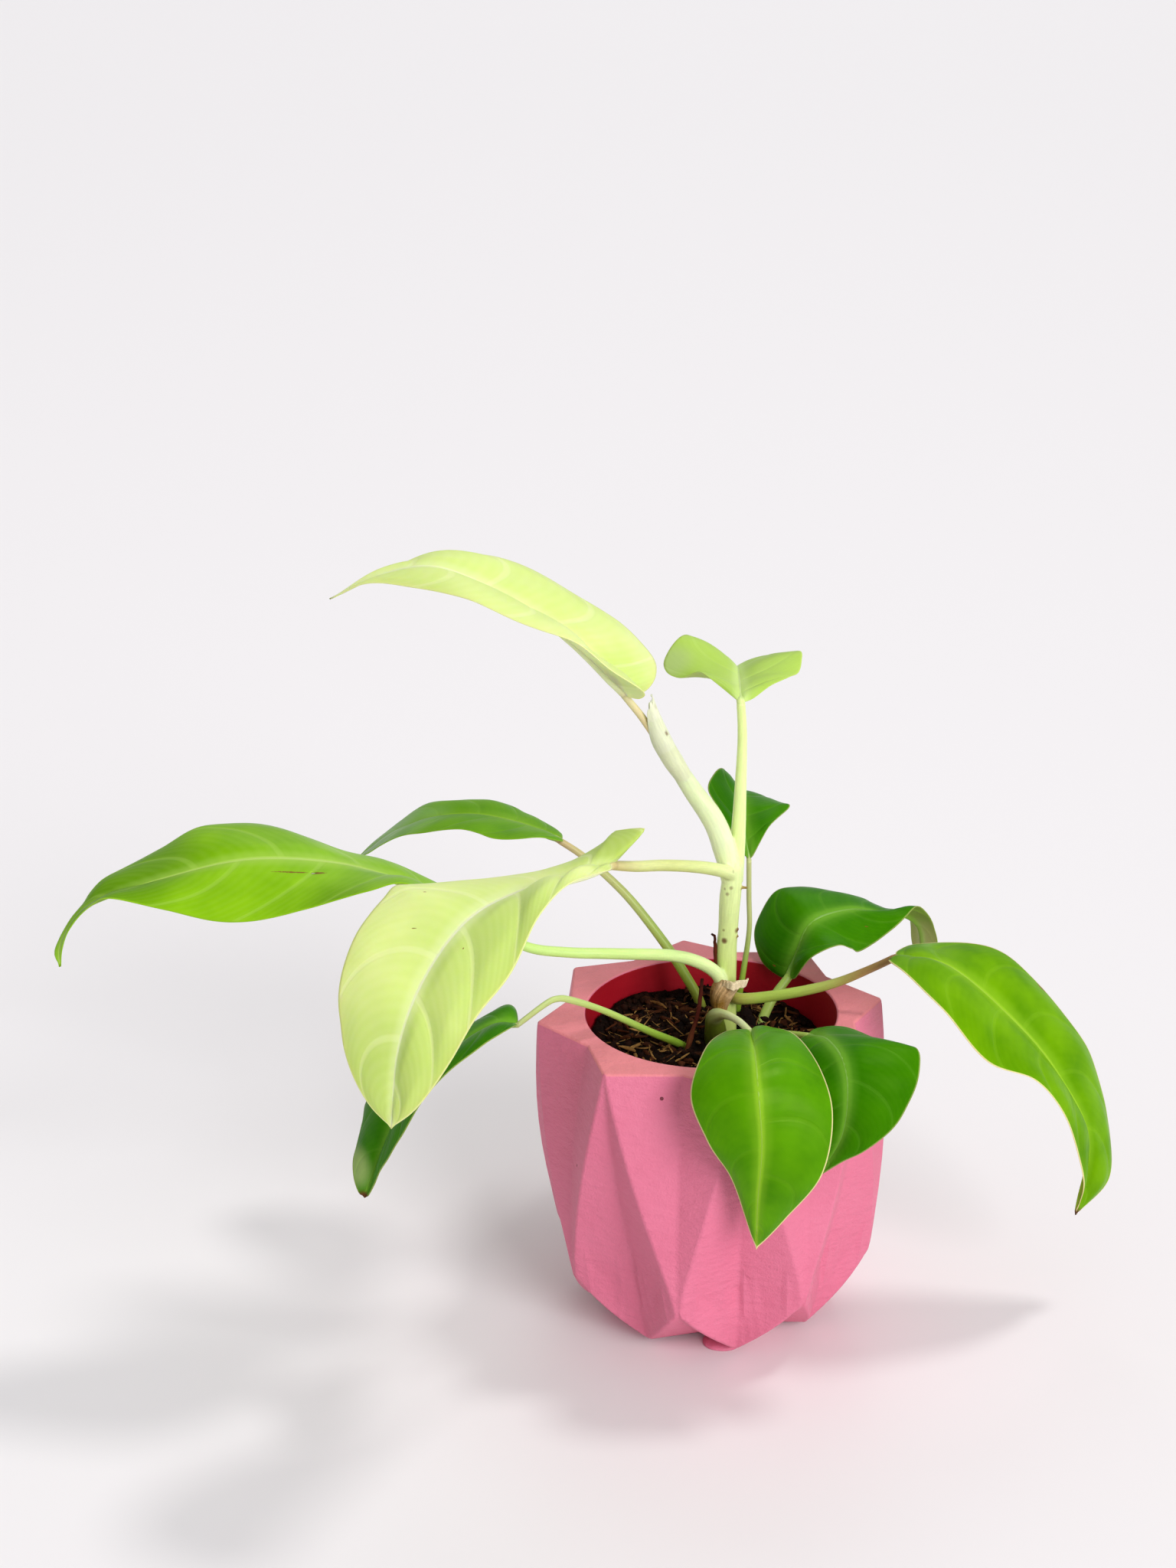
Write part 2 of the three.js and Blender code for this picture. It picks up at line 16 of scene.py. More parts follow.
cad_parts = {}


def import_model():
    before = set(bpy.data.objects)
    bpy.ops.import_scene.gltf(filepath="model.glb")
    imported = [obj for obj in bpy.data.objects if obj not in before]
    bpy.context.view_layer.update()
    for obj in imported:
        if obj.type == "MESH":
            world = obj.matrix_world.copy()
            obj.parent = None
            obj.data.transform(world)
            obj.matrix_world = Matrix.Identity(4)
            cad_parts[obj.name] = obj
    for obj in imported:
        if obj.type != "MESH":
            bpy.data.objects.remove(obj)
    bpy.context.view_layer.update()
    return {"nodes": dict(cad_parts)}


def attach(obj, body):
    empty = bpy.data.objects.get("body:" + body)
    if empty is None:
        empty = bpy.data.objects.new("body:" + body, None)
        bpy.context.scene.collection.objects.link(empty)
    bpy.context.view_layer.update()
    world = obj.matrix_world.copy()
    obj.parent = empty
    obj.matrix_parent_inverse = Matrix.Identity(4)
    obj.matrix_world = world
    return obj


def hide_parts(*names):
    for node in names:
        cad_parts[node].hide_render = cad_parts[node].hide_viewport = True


LOG = logging.getLogger("philodendron")
MM = 0.001
NOISE_SEED = 3
# How far up a stalk it comes out of the soil, as a share of its length
FOOT_SHARE = 0.08
# How softly tints and marks run from one stalk into the next, in millimetres
TINT_BLEND = 0.12
Point = tuple[float, float, float]


def linear(code: str) -> tuple[float, float, float, float]:
    """Turns an sRGB hex colour into linear light.

    Args:
        code: The colour as a hash sign and six hex digits.

    Returns:
        Red, green, blue and an alpha of one.
    """
    channels = [int(code[i : i + 2], 16) / 255 for i in (1, 3, 5)]
    red, green, blue = (c / 12.92 if c <= 0.04045 else ((c + 0.055) / 1.055) ** 2.4 for c in channels)
    return red, green, blue, 1.0


def add_node(
    tree: bpy.types.NodeTree,
    kind: str,
    inputs: dict | None = None,
    **settings: object,
) -> bpy.types.Node:
    """Adds a node to a tree with its settings, values and links.

    Args:
        tree: The material's or world's nodes.
        kind: The node's type.
        inputs: A value or an output socket for each input, by name or number.
        settings: The node's own properties.

    Returns:
        The new node.
    """
    node = tree.nodes.new(kind)
    for name, value in settings.items():
        setattr(node, name, value)
    for socket, value in (inputs or {}).items():
        if isinstance(value, bpy.types.NodeSocket):
            tree.links.new(value, node.inputs[socket])
        else:
            node.inputs[socket].default_value = value
    return node


def start_material(name: str, roughness: float, ior: float = 1.45) -> tuple[bpy.types.Material, bpy.types.Node]:
    """Makes a material and sets its shader's plain values.

    Args:
        name: The material's name.
        roughness: How rough the bare surface is.
        ior: Its index of refraction.

    Returns:
        The material and its shader.
    """
    material = bpy.data.materials.new(name)
    material.use_nodes = True
    shader = material.node_tree.nodes["Principled BSDF"]
    shader.inputs["Roughness"].default_value = roughness
    shader.inputs["IOR"].default_value = ior
    return material, shader


class SmoothCurve:
    """A smooth path through points, in millimetres, spaced by its own parameter or by length."""

    STEPS = 200
    PROBE = 0.01

    def __init__(self, points: Sequence[Point]) -> None:
        """Measures the path.

        Args:
            points: The points that it goes through, in order.
        """
        self.points = [Vector(p) for p in points]
        self.lengths = [0.0]
        before = self.point(0)
        for i in range(1, self.STEPS + 1):
            here = self.point(i / self.STEPS)
            self.lengths.append(self.lengths[-1] + (here - before).length)
            before = here

    @property
    def length(self) -> float:
        """The path's length."""
        return self.lengths[-1]

    def point(self, share: float) -> Vector:
        """Finds a spot by counting points.

        Args:
            share: From 0 at the first point to 1 at the last.

        Returns:
            The spot.
        """
        place = share * (len(self.points) - 1)
        k = min(int(place), len(self.points) - 2)
        t = place - k
        a, b = self.points[k], self.points[k + 1]
        before = self.points[k - 1] if k > 0 else 2 * a - b
        after = self.points[k + 2] if k + 2 < len(self.points) else 2 * b - a
        leave, arrive = (b - before) / 2, (after - a) / 2
        bend = 3 * (b - a) - 2 * leave - arrive
        return a + leave * t + bend * t**2 + (2 * (a - b) + leave + arrive) * t**3

    def at(self, share: float) -> Vector:
        """Finds a spot by measuring length.

        Args:
            share: From 0 at the start to 1 at the end.

        Returns:
            The spot.
        """
        target = share * self.length
        k = min(max(bisect_right(self.lengths, target) - 1, 0), self.STEPS - 1)
        span = max(self.lengths[k + 1] - self.lengths[k], 1e-9)
        return self.point((k + (target - self.lengths[k]) / span) / self.STEPS)

    def heading(self, share: float) -> Vector:
        """The direction of the path at a share of its length."""
        return (self.at(min(share + self.PROBE, 1)) - self.at(max(share - self.PROBE, 0))).normalized()


def ramp(value: float, low: float, high: float) -> float:
    """Rises smoothly from 0 at low to 1 at high."""
    share = min(max((value - low) / (high - low), 0), 1)
    return share * share * (3 - 2 * share)


def settle_faces(body: bmesh.types.BMesh) -> None:
    """Puts a mesh's faces in order of their places, because balls are made with theirs in a chance order.

    Args:
        body: The mesh to work on.
    """
    for index, face in enumerate(sorted(body.faces, key=lambda face: face.calc_center_median()[:])):
        face.index = index
    body.faces.sort()


def finish_piece(
    name: str,
    body: bmesh.types.BMesh,
    materials: Sequence[bpy.types.Material],
    nodes: Sequence[str] = (),
) -> bpy.types.Object:
    """Makes a mesh in millimetres a piece of the object.

    Args:
        name: The piece's name.
        body: The mesh, which is used up.
        materials: Its materials in order.
        nodes: The solids that it stands for.

    Returns:
        The piece, at the origin, in metres.
    """
    bmesh.ops.scale(body, vec=(MM, MM, MM), verts=body.verts)
    data = bpy.data.meshes.new(name)
    body.to_mesh(data)
    body.free()
    data.shade_smooth()
    piece = bpy.data.objects.new(name, data)
    bpy.context.scene.collection.objects.link(piece)
    for material in materials:
        data.materials.append(material)
    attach(piece, "root")
    if nodes:
        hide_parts(*nodes)
    return piece


def settle_modifiers(piece: bpy.types.Object) -> None:
    """Applies a piece's modifiers to its mesh, and keeps its materials.

    Args:
        piece: The piece to work on.
    """
    graph = bpy.context.evaluated_depsgraph_get()
    data = bpy.data.meshes.new_from_object(piece.evaluated_get(graph))
    piece.modifiers.clear()
    piece.data = data
    data.shade_smooth()


def melt(piece: bpy.types.Object, grain: float, rounds: int) -> None:
    """Joins a piece's shapes into one skin and rounds its edges.

    Args:
        piece: The piece to work on.
        grain: The size of the skin's facets, in millimetres.
        rounds: How often the skin is smoothed.
    """
    join = piece.modifiers.new("join", "REMESH")
    join.mode = "VOXEL"
    join.voxel_size = grain * MM
    soften = piece.modifiers.new("soften", "SMOOTH")
    soften.factor = 0.5
    soften.iterations = rounds
    settle_modifiers(piece)


# Finishes


@dataclass(frozen=True)
class BladeFinish:
    """Waxy leaf skin: half gloss over soft green, light let through, a pale midrib and a thin pale edge."""

    name: str
    slot: str
    # Two greens that drift over the blade, then the midrib with its veins, the edge, the underside and patches of
    # painted shade, painted sheen and other tone
    young: str
    deep: str
    rib: str
    edge: str
    under: str
    tone_shade_sheen_tint: str
    vein_show: float = 0.2
    roughness: float = 0.4
    # How much light goes into the leaf, and how far red, green and blue travel in it, in metres
    through: float = 0.2
    travel: float = 0.0012
    travel_by_colour: Point = (1.0, 1.4, 0.3)
    gloss: float = 0.15
    rib_width: float = 1.0
    rib_show: float = 0.85
    sheen: str = "#e4f080"
    mark: str = "#7a4a20"
    scar: str = "#5a3420"

    def dress(self, below: bool, marks: Sequence[tuple[Point, Point]] = ()) -> bpy.types.Material:
        """Makes the material of one face of the blade.

        Args:
            below: Whether it is the underside, which is paler and duller.
            marks: The middle and the scale of each brown mark, as rib distance and vein number.

        Returns:
            The material.
        """
        rough = self.roughness + (0.15 if below else 0)
        material, shader = start_material(f"{self.name}_{'under' if below else 'upper'}", rough)
        tree = material.node_tree
        shader.inputs["Specular IOR Level"].default_value = self.gloss
        shader.inputs["Specular Tint"].default_value = linear(self.sheen)
        shader.inputs["Subsurface Weight"].default_value = self.through
        shader.inputs["Subsurface Radius"].default_value = self.travel_by_colour
        shader.inputs["Subsurface Scale"].default_value = self.travel
        place = add_node(tree, "ShaderNodeAttribute", attribute_name="blade")
        parts = add_node(tree, "ShaderNodeSeparateXYZ", {0: place.outputs["Vector"]})
        off_rib = add_node(tree, "ShaderNodeMath", {0: parts.outputs["X"]}, operation="ABSOLUTE")
        # A band wave has a period of 0.314 units, so one band falls on each vein and seven on the twigs
        # between veins
        waves = []
        for lean, count, wobble in ((0.02, 1, 0.4), (0.05, 7, 2.0)):
            stretch = add_node(
                tree,
                "ShaderNodeMapping",
                {"Vector": place.outputs["Vector"], "Scale": (lean, 0.31416 * count, 0.0)},
            )
            wave = add_node(
                tree,
                "ShaderNodeTexWave",
                {"Vector": stretch.outputs[0], "Scale": 1.0, "Distortion": wobble, "Detail": 2.0},
                bands_direction="Y",
            )
            waves.append(wave.outputs["Fac"])
        # Where each band ends, in millimetres from the rib or the margin, and how much of it shows
        bands = {}
        for key, value, low, high, most in (
            ("vein", waves[0], 0.0, 0.03, 1.0),
            ("rib", off_rib.outputs[0], 0.3 * self.rib_width, 1.4 * self.rib_width, self.rib_show),
            ("halo", off_rib.outputs[0], 0.8, 5.5, 0.32),
            ("edge", parts.outputs["Z"], 0.22, 0.6, 1.0),
        ):
            band = add_node(
                tree,
                "ShaderNodeMapRange",
                {"Value": value, "From Min": low, "From Max": high, "To Min": most, "To Max": 0.0},
                interpolation_type="SMOOTHSTEP",
            )
            bands[key] = band.outputs[0]
        where = add_node(tree, "ShaderNodeTexCoord")
        # Clouds of lighter and deeper green 15 to 25 mm across
        clouds = add_node(
            tree,
            "ShaderNodeTexNoise",
            {"Vector": where.outputs["Object"], "Scale": 55.0, "Detail": 3.0, "Roughness": 0.55},
        )
        cloud = add_node(
            tree,
            "ShaderNodeMapRange",
            {"Value": clouds.outputs["Fac"], "From Min": 0.35, "From Max": 0.68, "To Min": 0.0, "To Max": 0.8},
        )
        # Skin cells show as a fine sparkle, drawn at 0.8 mm
        cells = add_node(
            tree, "ShaderNodeTexNoise", {"Vector": where.outputs["Object"], "Scale": 1200.0, "Detail": 1.0}
        )
        body, shade = (self.under, self.under) if below else (self.young, self.deep)
        skin = add_node(
            tree,
            "ShaderNodeMix",
            {"Factor": cloud.outputs[0], "A": linear(body), "B": linear(shade)},
            data_type="RGBA",
        )
        colour = skin.outputs["Result"]
        vein_part = add_node(tree, "ShaderNodeMath", {0: bands["vein"], 1: self.vein_show}, operation="MULTIPLY")
        twig_part = add_node(tree, "ShaderNodeMath", {0: waves[1], 1: 0.2 * self.vein_show}, operation="MULTIPLY")
        layers = [
            (twig_part.outputs[0], self.rib),
            (bands["halo"], self.rib),
            (vein_part.outputs[0], self.rib),
            (bands["rib"], self.rib),
            (bands["edge"], self.edge),
        ]
        for middle, scale in marks:
            gap = add_node(
                tree, "ShaderNodeVectorMath", {0: place.outputs["Vector"], 1: middle}, operation="SUBTRACT"
            )
            spread = add_node(tree, "ShaderNodeVectorMath", {0: gap.outputs[0], 1: scale}, operation="MULTIPLY")
            far = add_node(tree, "ShaderNodeVectorMath", {0: spread.outputs[0]}, operation="LENGTH")
            ragged = add_node(
                tree,
                "ShaderNodeMath",
                {0: cells.outputs["Fac"], 1: 1.2, 2: far.outputs["Value"]},
                operation="MULTIPLY_ADD",
            )
            mark = add_node(
                tree,
                "ShaderNodeMapRange",
                {"Value": ragged.outputs[0], "From Min": 1.2, "From Max": 1.7, "To Min": 0.9, "To Max": 0.0},
            )
            layers.append((mark.outputs[0], self.mark))
        scar = add_node(tree, "ShaderNodeAttribute", attribute_name="scar")
        layers.append((scar.outputs["Fac"], self.scar))
        # Patches of painted shade, painted sheen and other tone go under all other layers
        age = add_node(tree, "ShaderNodeAttribute", attribute_name="age")
        layers.insert(0, (age.outputs["Fac"], self.tone_shade_sheen_tint))
        for factor, tint in layers:
            layer = add_node(
                tree, "ShaderNodeMix", {"Factor": factor, "A": colour, "B": linear(tint)}, data_type="RGBA"
            )
            colour = layer.outputs["Result"]
        tree.links.new(colour, shader.inputs["Base Color"])
        ridges = add_node(
            tree, "ShaderNodeMath", {0: waves[1], 1: 0.2, 2: bands["vein"]}, operation="MULTIPLY_ADD"
        )
        grain = add_node(
            tree,
            "ShaderNodeMath",
            {0: cells.outputs["Fac"], 1: 0.25, 2: ridges.outputs[0]},
            operation="MULTIPLY_ADD",
        )
        relief = add_node(
            tree,
            "ShaderNodeBump",
            {"Height": grain.outputs[0], "Strength": 0.3, "Distance": 0.0003},
            invert=not below,
        )
        tree.links.new(relief.outputs["Normal"], shader.inputs["Normal"])
        return material


class StalkSkin(Enum):
    """What the skin of a stalk is like."""

    FRESH = "juicy"
    DRY = "papery"


@dataclass(frozen=True)
class StalkFinish:
    """Stalk skin: smooth and juicy or dry, with fine streaks along it and brown scars at its joints."""

    name: str
    skin: StalkSkin = StalkSkin.FRESH
    through: float = 0.25
    travel: float = 0.002
    travel_by_colour: Point = (1.0, 1.4, 0.4)
    scar: str = "#6b4420"

    def dress(self) -> bpy.types.Material:
        """Makes the material, whose tint comes with the mesh.

        Returns:
            The material.
        """
        dry = self.skin is StalkSkin.DRY
        material, shader = start_material(self.name, 0.8 if dry else 0.38)
        shader.inputs["Specular IOR Level"].default_value = 0.15 if dry else 0.5
        tree = material.node_tree
        if not dry:
            shader.inputs["Subsurface Weight"].default_value = self.through
            shader.inputs["Subsurface Radius"].default_value = self.travel_by_colour
            shader.inputs["Subsurface Scale"].default_value = self.travel
        tint = add_node(tree, "ShaderNodeAttribute", attribute_name="tint")
        grain = add_node(tree, "ShaderNodeAttribute", attribute_name="grain")
        # Streaks about 0.5 mm wide and 6 mm long
        stretch = add_node(
            tree, "ShaderNodeMapping", {"Vector": grain.outputs["Vector"], "Scale": (3.0, 3.0, 0.12)}
        )
        streaks = add_node(
            tree,
            "ShaderNodeTexNoise",
            {"Vector": stretch.outputs[0], "Scale": 1.4, "Detail": 4.0, "Roughness": 0.6},
        )
        depth = add_node(
            tree,
            "ShaderNodeMapRange",
            {
                "Value": streaks.outputs["Fac"],
                "From Min": 0.35,
                "From Max": 0.7,
                "To Min": 1.06,
                "To Max": 0.5 if dry else 0.9,
            },
        )
        streaked = add_node(
            tree,
            "ShaderNodeVectorMath",
            {0: tint.outputs["Color"], "Scale": depth.outputs[0]},
            operation="SCALE",
        )
        scar = add_node(tree, "ShaderNodeAttribute", attribute_name="scar")
        burnt = add_node(
            tree,
            "ShaderNodeMix",
            {"Factor": scar.outputs["Fac"], "A": streaked.outputs[0], "B": linear(self.scar)},
            data_type="RGBA",
        )
        tree.links.new(burnt.outputs["Result"], shader.inputs["Base Color"])
        relief = add_node(
            tree,
            "ShaderNodeBump",
            {"Height": streaks.outputs["Fac"], "Strength": 0.8 if dry else 0.15, "Distance": 0.0003},
        )
        tree.links.new(relief.outputs["Normal"], shader.inputs["Normal"])
        return material


@dataclass(frozen=True)
class CementFinish:
    """Painted cast cement: chalky pink with cloudy paint, sand grain and pinholes left by air in the mould."""

    paint: str = "#df7693"
    cloud: str = "#d86a88"
    rim: str = "#e6838c"
    # The inside's deep, dark red is painted shade
    inside: str = "#a8091e"
    # The pinholes' dark pink is painted shade
    shaded_pit: str = "#7a2a3a"

    def dress(self) -> bpy.types.Material:
        """Makes the material, with the rim and the inside marked on the mesh.

        Returns:
            The material.
        """
        material, shader = start_material("painted_cement", 0.5, 1.5)
        shader.inputs["Specular IOR Level"].default_value = 0.4
        tree = material.node_tree
        where = add_node(tree, "ShaderNodeTexCoord").outputs["Object"]
        # Cloudy paint, 20 to 40 mm across
        clouds = add_node(
            tree, "ShaderNodeTexNoise", {"Vector": where, "Scale": 30.0, "Detail": 5.0, "Roughness": 0.6}
        )
        cloud = add_node(
            tree,
            "ShaderNodeMapRange",
            {"Value": clouds.outputs["Fac"], "From Min": 0.35, "From Max": 0.7, "To Max": 0.6},
        )
        painted = add_node(
            tree,
            "ShaderNodeMix",
            {"Factor": cloud.outputs[0], "A": linear(self.paint), "B": linear(self.cloud)},
            data_type="RGBA",
        )
        zone = add_node(tree, "ShaderNodeAttribute", attribute_name="zone")
        zones = add_node(tree, "ShaderNodeSeparateXYZ", {0: zone.outputs["Vector"]})
        # Sparse pinholes 0.4 to 1.5 mm across, about one in a 9 mm cell, painted dark for the shade in them
        cells = add_node(
            tree, "ShaderNodeTexVoronoi", {"Vector": where, "Scale": 110.0, "Randomness": 1.0}, feature="F1"
        )
        size = add_node(tree, "ShaderNodeSeparateColor", {0: cells.outputs["Color"]})
        reach = add_node(
            tree,
            "ShaderNodeMapRange",
            {"Value": size.outputs[0], "From Min": 0.62, "From Max": 1.0, "To Min": 0.0, "To Max": 0.085},
        )
        hole = add_node(
            tree, "ShaderNodeMath", {0: reach.outputs[0], 1: cells.outputs["Distance"]}, operation="SUBTRACT"
        )
        shaded_pit = add_node(
            tree,
            "ShaderNodeMapRange",
            {"Value": hole.outputs[0], "From Min": 0.0, "From Max": 0.025},
            interpolation_type="SMOOTHSTEP",
        )
        colour = painted.outputs["Result"]
        # The rim's own colour, then painted shade inside and in the pinholes
        for factor, tint in (
            (zones.outputs["X"], self.rim),
            (zones.outputs["Y"], self.inside),
            (shaded_pit.outputs[0], self.shaded_pit),
        ):
            layer = add_node(
                tree, "ShaderNodeMix", {"Factor": factor, "A": colour, "B": linear(tint)}, data_type="RGBA"
            )
            colour = layer.outputs["Result"]
        tree.links.new(colour, shader.inputs["Base Color"])
        # Sand grain, drawn at 0.7 mm, over low waves of the cast skin
        sand = add_node(
            tree, "ShaderNodeTexNoise", {"Vector": where, "Scale": 1400.0, "Detail": 3.0, "Roughness": 0.7}
        )
        flat = add_node(tree, "ShaderNodeMapping", {"Vector": where, "Scale": (1.0, 1.0, 2.2)})
        waves = add_node(tree, "ShaderNodeTexNoise", {"Vector": flat.outputs[0], "Scale": 190.0, "Detail": 4.0})
        skin = add_node(
            tree,
            "ShaderNodeMath",
            {0: waves.outputs["Fac"], 1: 2.5, 2: sand.outputs["Fac"]},
            operation="MULTIPLY_ADD",
        )
        pitted = add_node(
            tree, "ShaderNodeMath", {0: shaded_pit.outputs[0], 1: -6.0, 2: skin.outputs[0]}, operation="MULTIPLY_ADD"
        )
        # The inside was cast against a smooth core
        rough = add_node(
            tree, "ShaderNodeMapRange", {"Value": zones.outputs["Y"], "To Min": 0.7, "To Max": 0.12}
        )
        relief = add_node(
            tree, "ShaderNodeBump", {"Height": pitted.outputs[0], "Strength": rough.outputs[0], "Distance": 0.0004}
        )
        tree.links.new(relief.outputs["Normal"], shader.inputs["Normal"])
        return material


@dataclass(frozen=True)
class MixFinish:
    """Potting mix: moist crumbs, bark or coir, each chip a shade of its own."""

    name: str
    dark: str
    light: str
    roughness: float = 0.85
    scale: float = 300.0

    def dress(self) -> bpy.types.Material:
        """Makes the material.

        Returns:
            The material.
        """
        material, shader = start_material(self.name, self.roughness)
        shader.inputs["Specular IOR Level"].default_value = 0.1
        tree = material.node_tree
        where = add_node(tree, "ShaderNodeTexCoord").outputs["Object"]
        patch = add_node(
            tree, "ShaderNodeTexNoise", {"Vector": where, "Scale": self.scale, "Detail": 4.0, "Roughness": 0.7}
        )
        shade = add_node(
            tree, "ShaderNodeMapRange", {"Value": patch.outputs["Fac"], "From Min": 0.35, "From Max": 0.7}
        )
        mixed = add_node(
            tree,
            "ShaderNodeMix",
            {"Factor": shade.outputs[0], "A": linear(self.dark), "B": linear(self.light)},
            data_type="RGBA",
        )
        tree.links.new(mixed.outputs["Result"], shader.inputs["Base Color"])
        # Fibres and grit, drawn at 0.7 mm
        fibre = add_node(tree, "ShaderNodeTexNoise", {"Vector": where, "Scale": 1500.0, "Detail": 3.0})
        relief = add_node(
            tree, "ShaderNodeBump", {"Height": fibre.outputs["Fac"], "Strength": 0.8, "Distance": 0.0004}
        )
        tree.links.new(relief.outputs["Normal"], shader.inputs["Normal"])
        return material


# Leaf skins, from the newest and palest to the oldest and darkest
LIME = BladeFinish(
    "lime_leaf", "lime_leaf",
    young="#dceb9a", deep="#d2e588", rib="#eef5c4", edge="#dbe69a", under="#f0f5cc", tone_shade_sheen_tint="#a8bd58",
    vein_show=0.25, roughness=0.45, through=0.65, gloss=0.2, rib_show=0.6,
)
SOFT = BladeFinish(
    "soft_green_leaf", "soft_green_leaf",
    young="#acca5a", deep="#9fbe4c", rib="#c9e284", edge="#b8d468", under="#bccb7e", tone_shade_sheen_tint="#a9bd76",
    vein_show=0.1, rib_width=2.4,
)
GREEN = BladeFinish(
    "green_leaf", "green_leaf",
    young="#88ba14", deep="#6ea204", rib="#b0d060", edge="#8cba24", under="#8aa858", tone_shade_sheen_tint="#4c7a04",
    vein_show=0.25, roughness=0.36,
)
GRASS = BladeFinish(
    "grass_green_leaf", "green_leaf",
    young="#559402", deep="#3c7a00", rib="#8ab828", edge="#e8dc98", under="#7fa040", tone_shade_sheen_tint="#387400",
    vein_show=0.07, roughness=0.34, gloss=0.18, rib_width=1.5,
)
MEADOW = BladeFinish(
    "meadow_green_leaf", "green_leaf",
    young="#6b9e02", deep="#4c8200", rib="#96c22e", edge="#e8dc98", under="#86a838", tone_shade_sheen_tint="#387400",
    vein_show=0.12, roughness=0.36, gloss=0.06,
)
LEAFY = BladeFinish(
    "mid_green_leaf", "green_leaf",
    young="#679c02", deep="#4c8600", rib="#86b030", edge="#7fa830", under="#8aa450", tone_shade_sheen_tint="#a0b592",
    vein_show=0.15, roughness=0.38, gloss=0.06,
)
DEEP = BladeFinish(
    "deep_green_leaf", "deep_green_leaf",
    young="#3a7a00", deep="#246400", rib="#70a430", edge="#879a4c", under="#6f8f34", tone_shade_sheen_tint="#b2c27c",
    vein_show=0.12, roughness=0.36, gloss=0.05, rib_width=2.0, rib_show=0.6,
)

STALK_SKIN = StalkFinish("stalk_skin")
DRY_SKIN = StalkFinish("withered_skin", StalkSkin.DRY)
SHEATH_SKIN = StalkFinish("sheath_skin")


# The plant


@dataclass
class Strand:
    """The middle line of one stalk, with its radius and its tint at each station."""

    centres: Sequence[Vector]
    radii: Sequence[float]
    tints: np.ndarray


@dataclass
class Stalk:
    """A stem or a leaf's stalk: a tapered round shoot along a smooth path, in millimetres."""

    points: Sequence[Point]
    radii: Sequence[float]
    tints: Sequence[str] = ("#b5cf62", "#b5cf62")

    def strand(self, step: float = 1.2) -> Strand:
        """Measures the middle line.

        Args:
            step: The distance between its stations.

        Returns:
            The line, its radii and its tints from foot to top.
        """
        path = SmoothCurve(self.points)
        count = max(6, round(path.length / step))
        shares = np.linspace(0, 1, count + 1)
        radii = np.interp(shares, np.linspace(0, 1, len(self.radii)), self.radii)
        colours = np.array([linear(tint) for tint in self.tints])
        places = np.linspace(0, 1, len(self.tints))
        tints = np.stack([np.interp(shares, places, colours[:, i]) for i in range(4)], axis=1)
        return Strand([path.at(float(share)) for share in shares], radii.tolist(), tints)


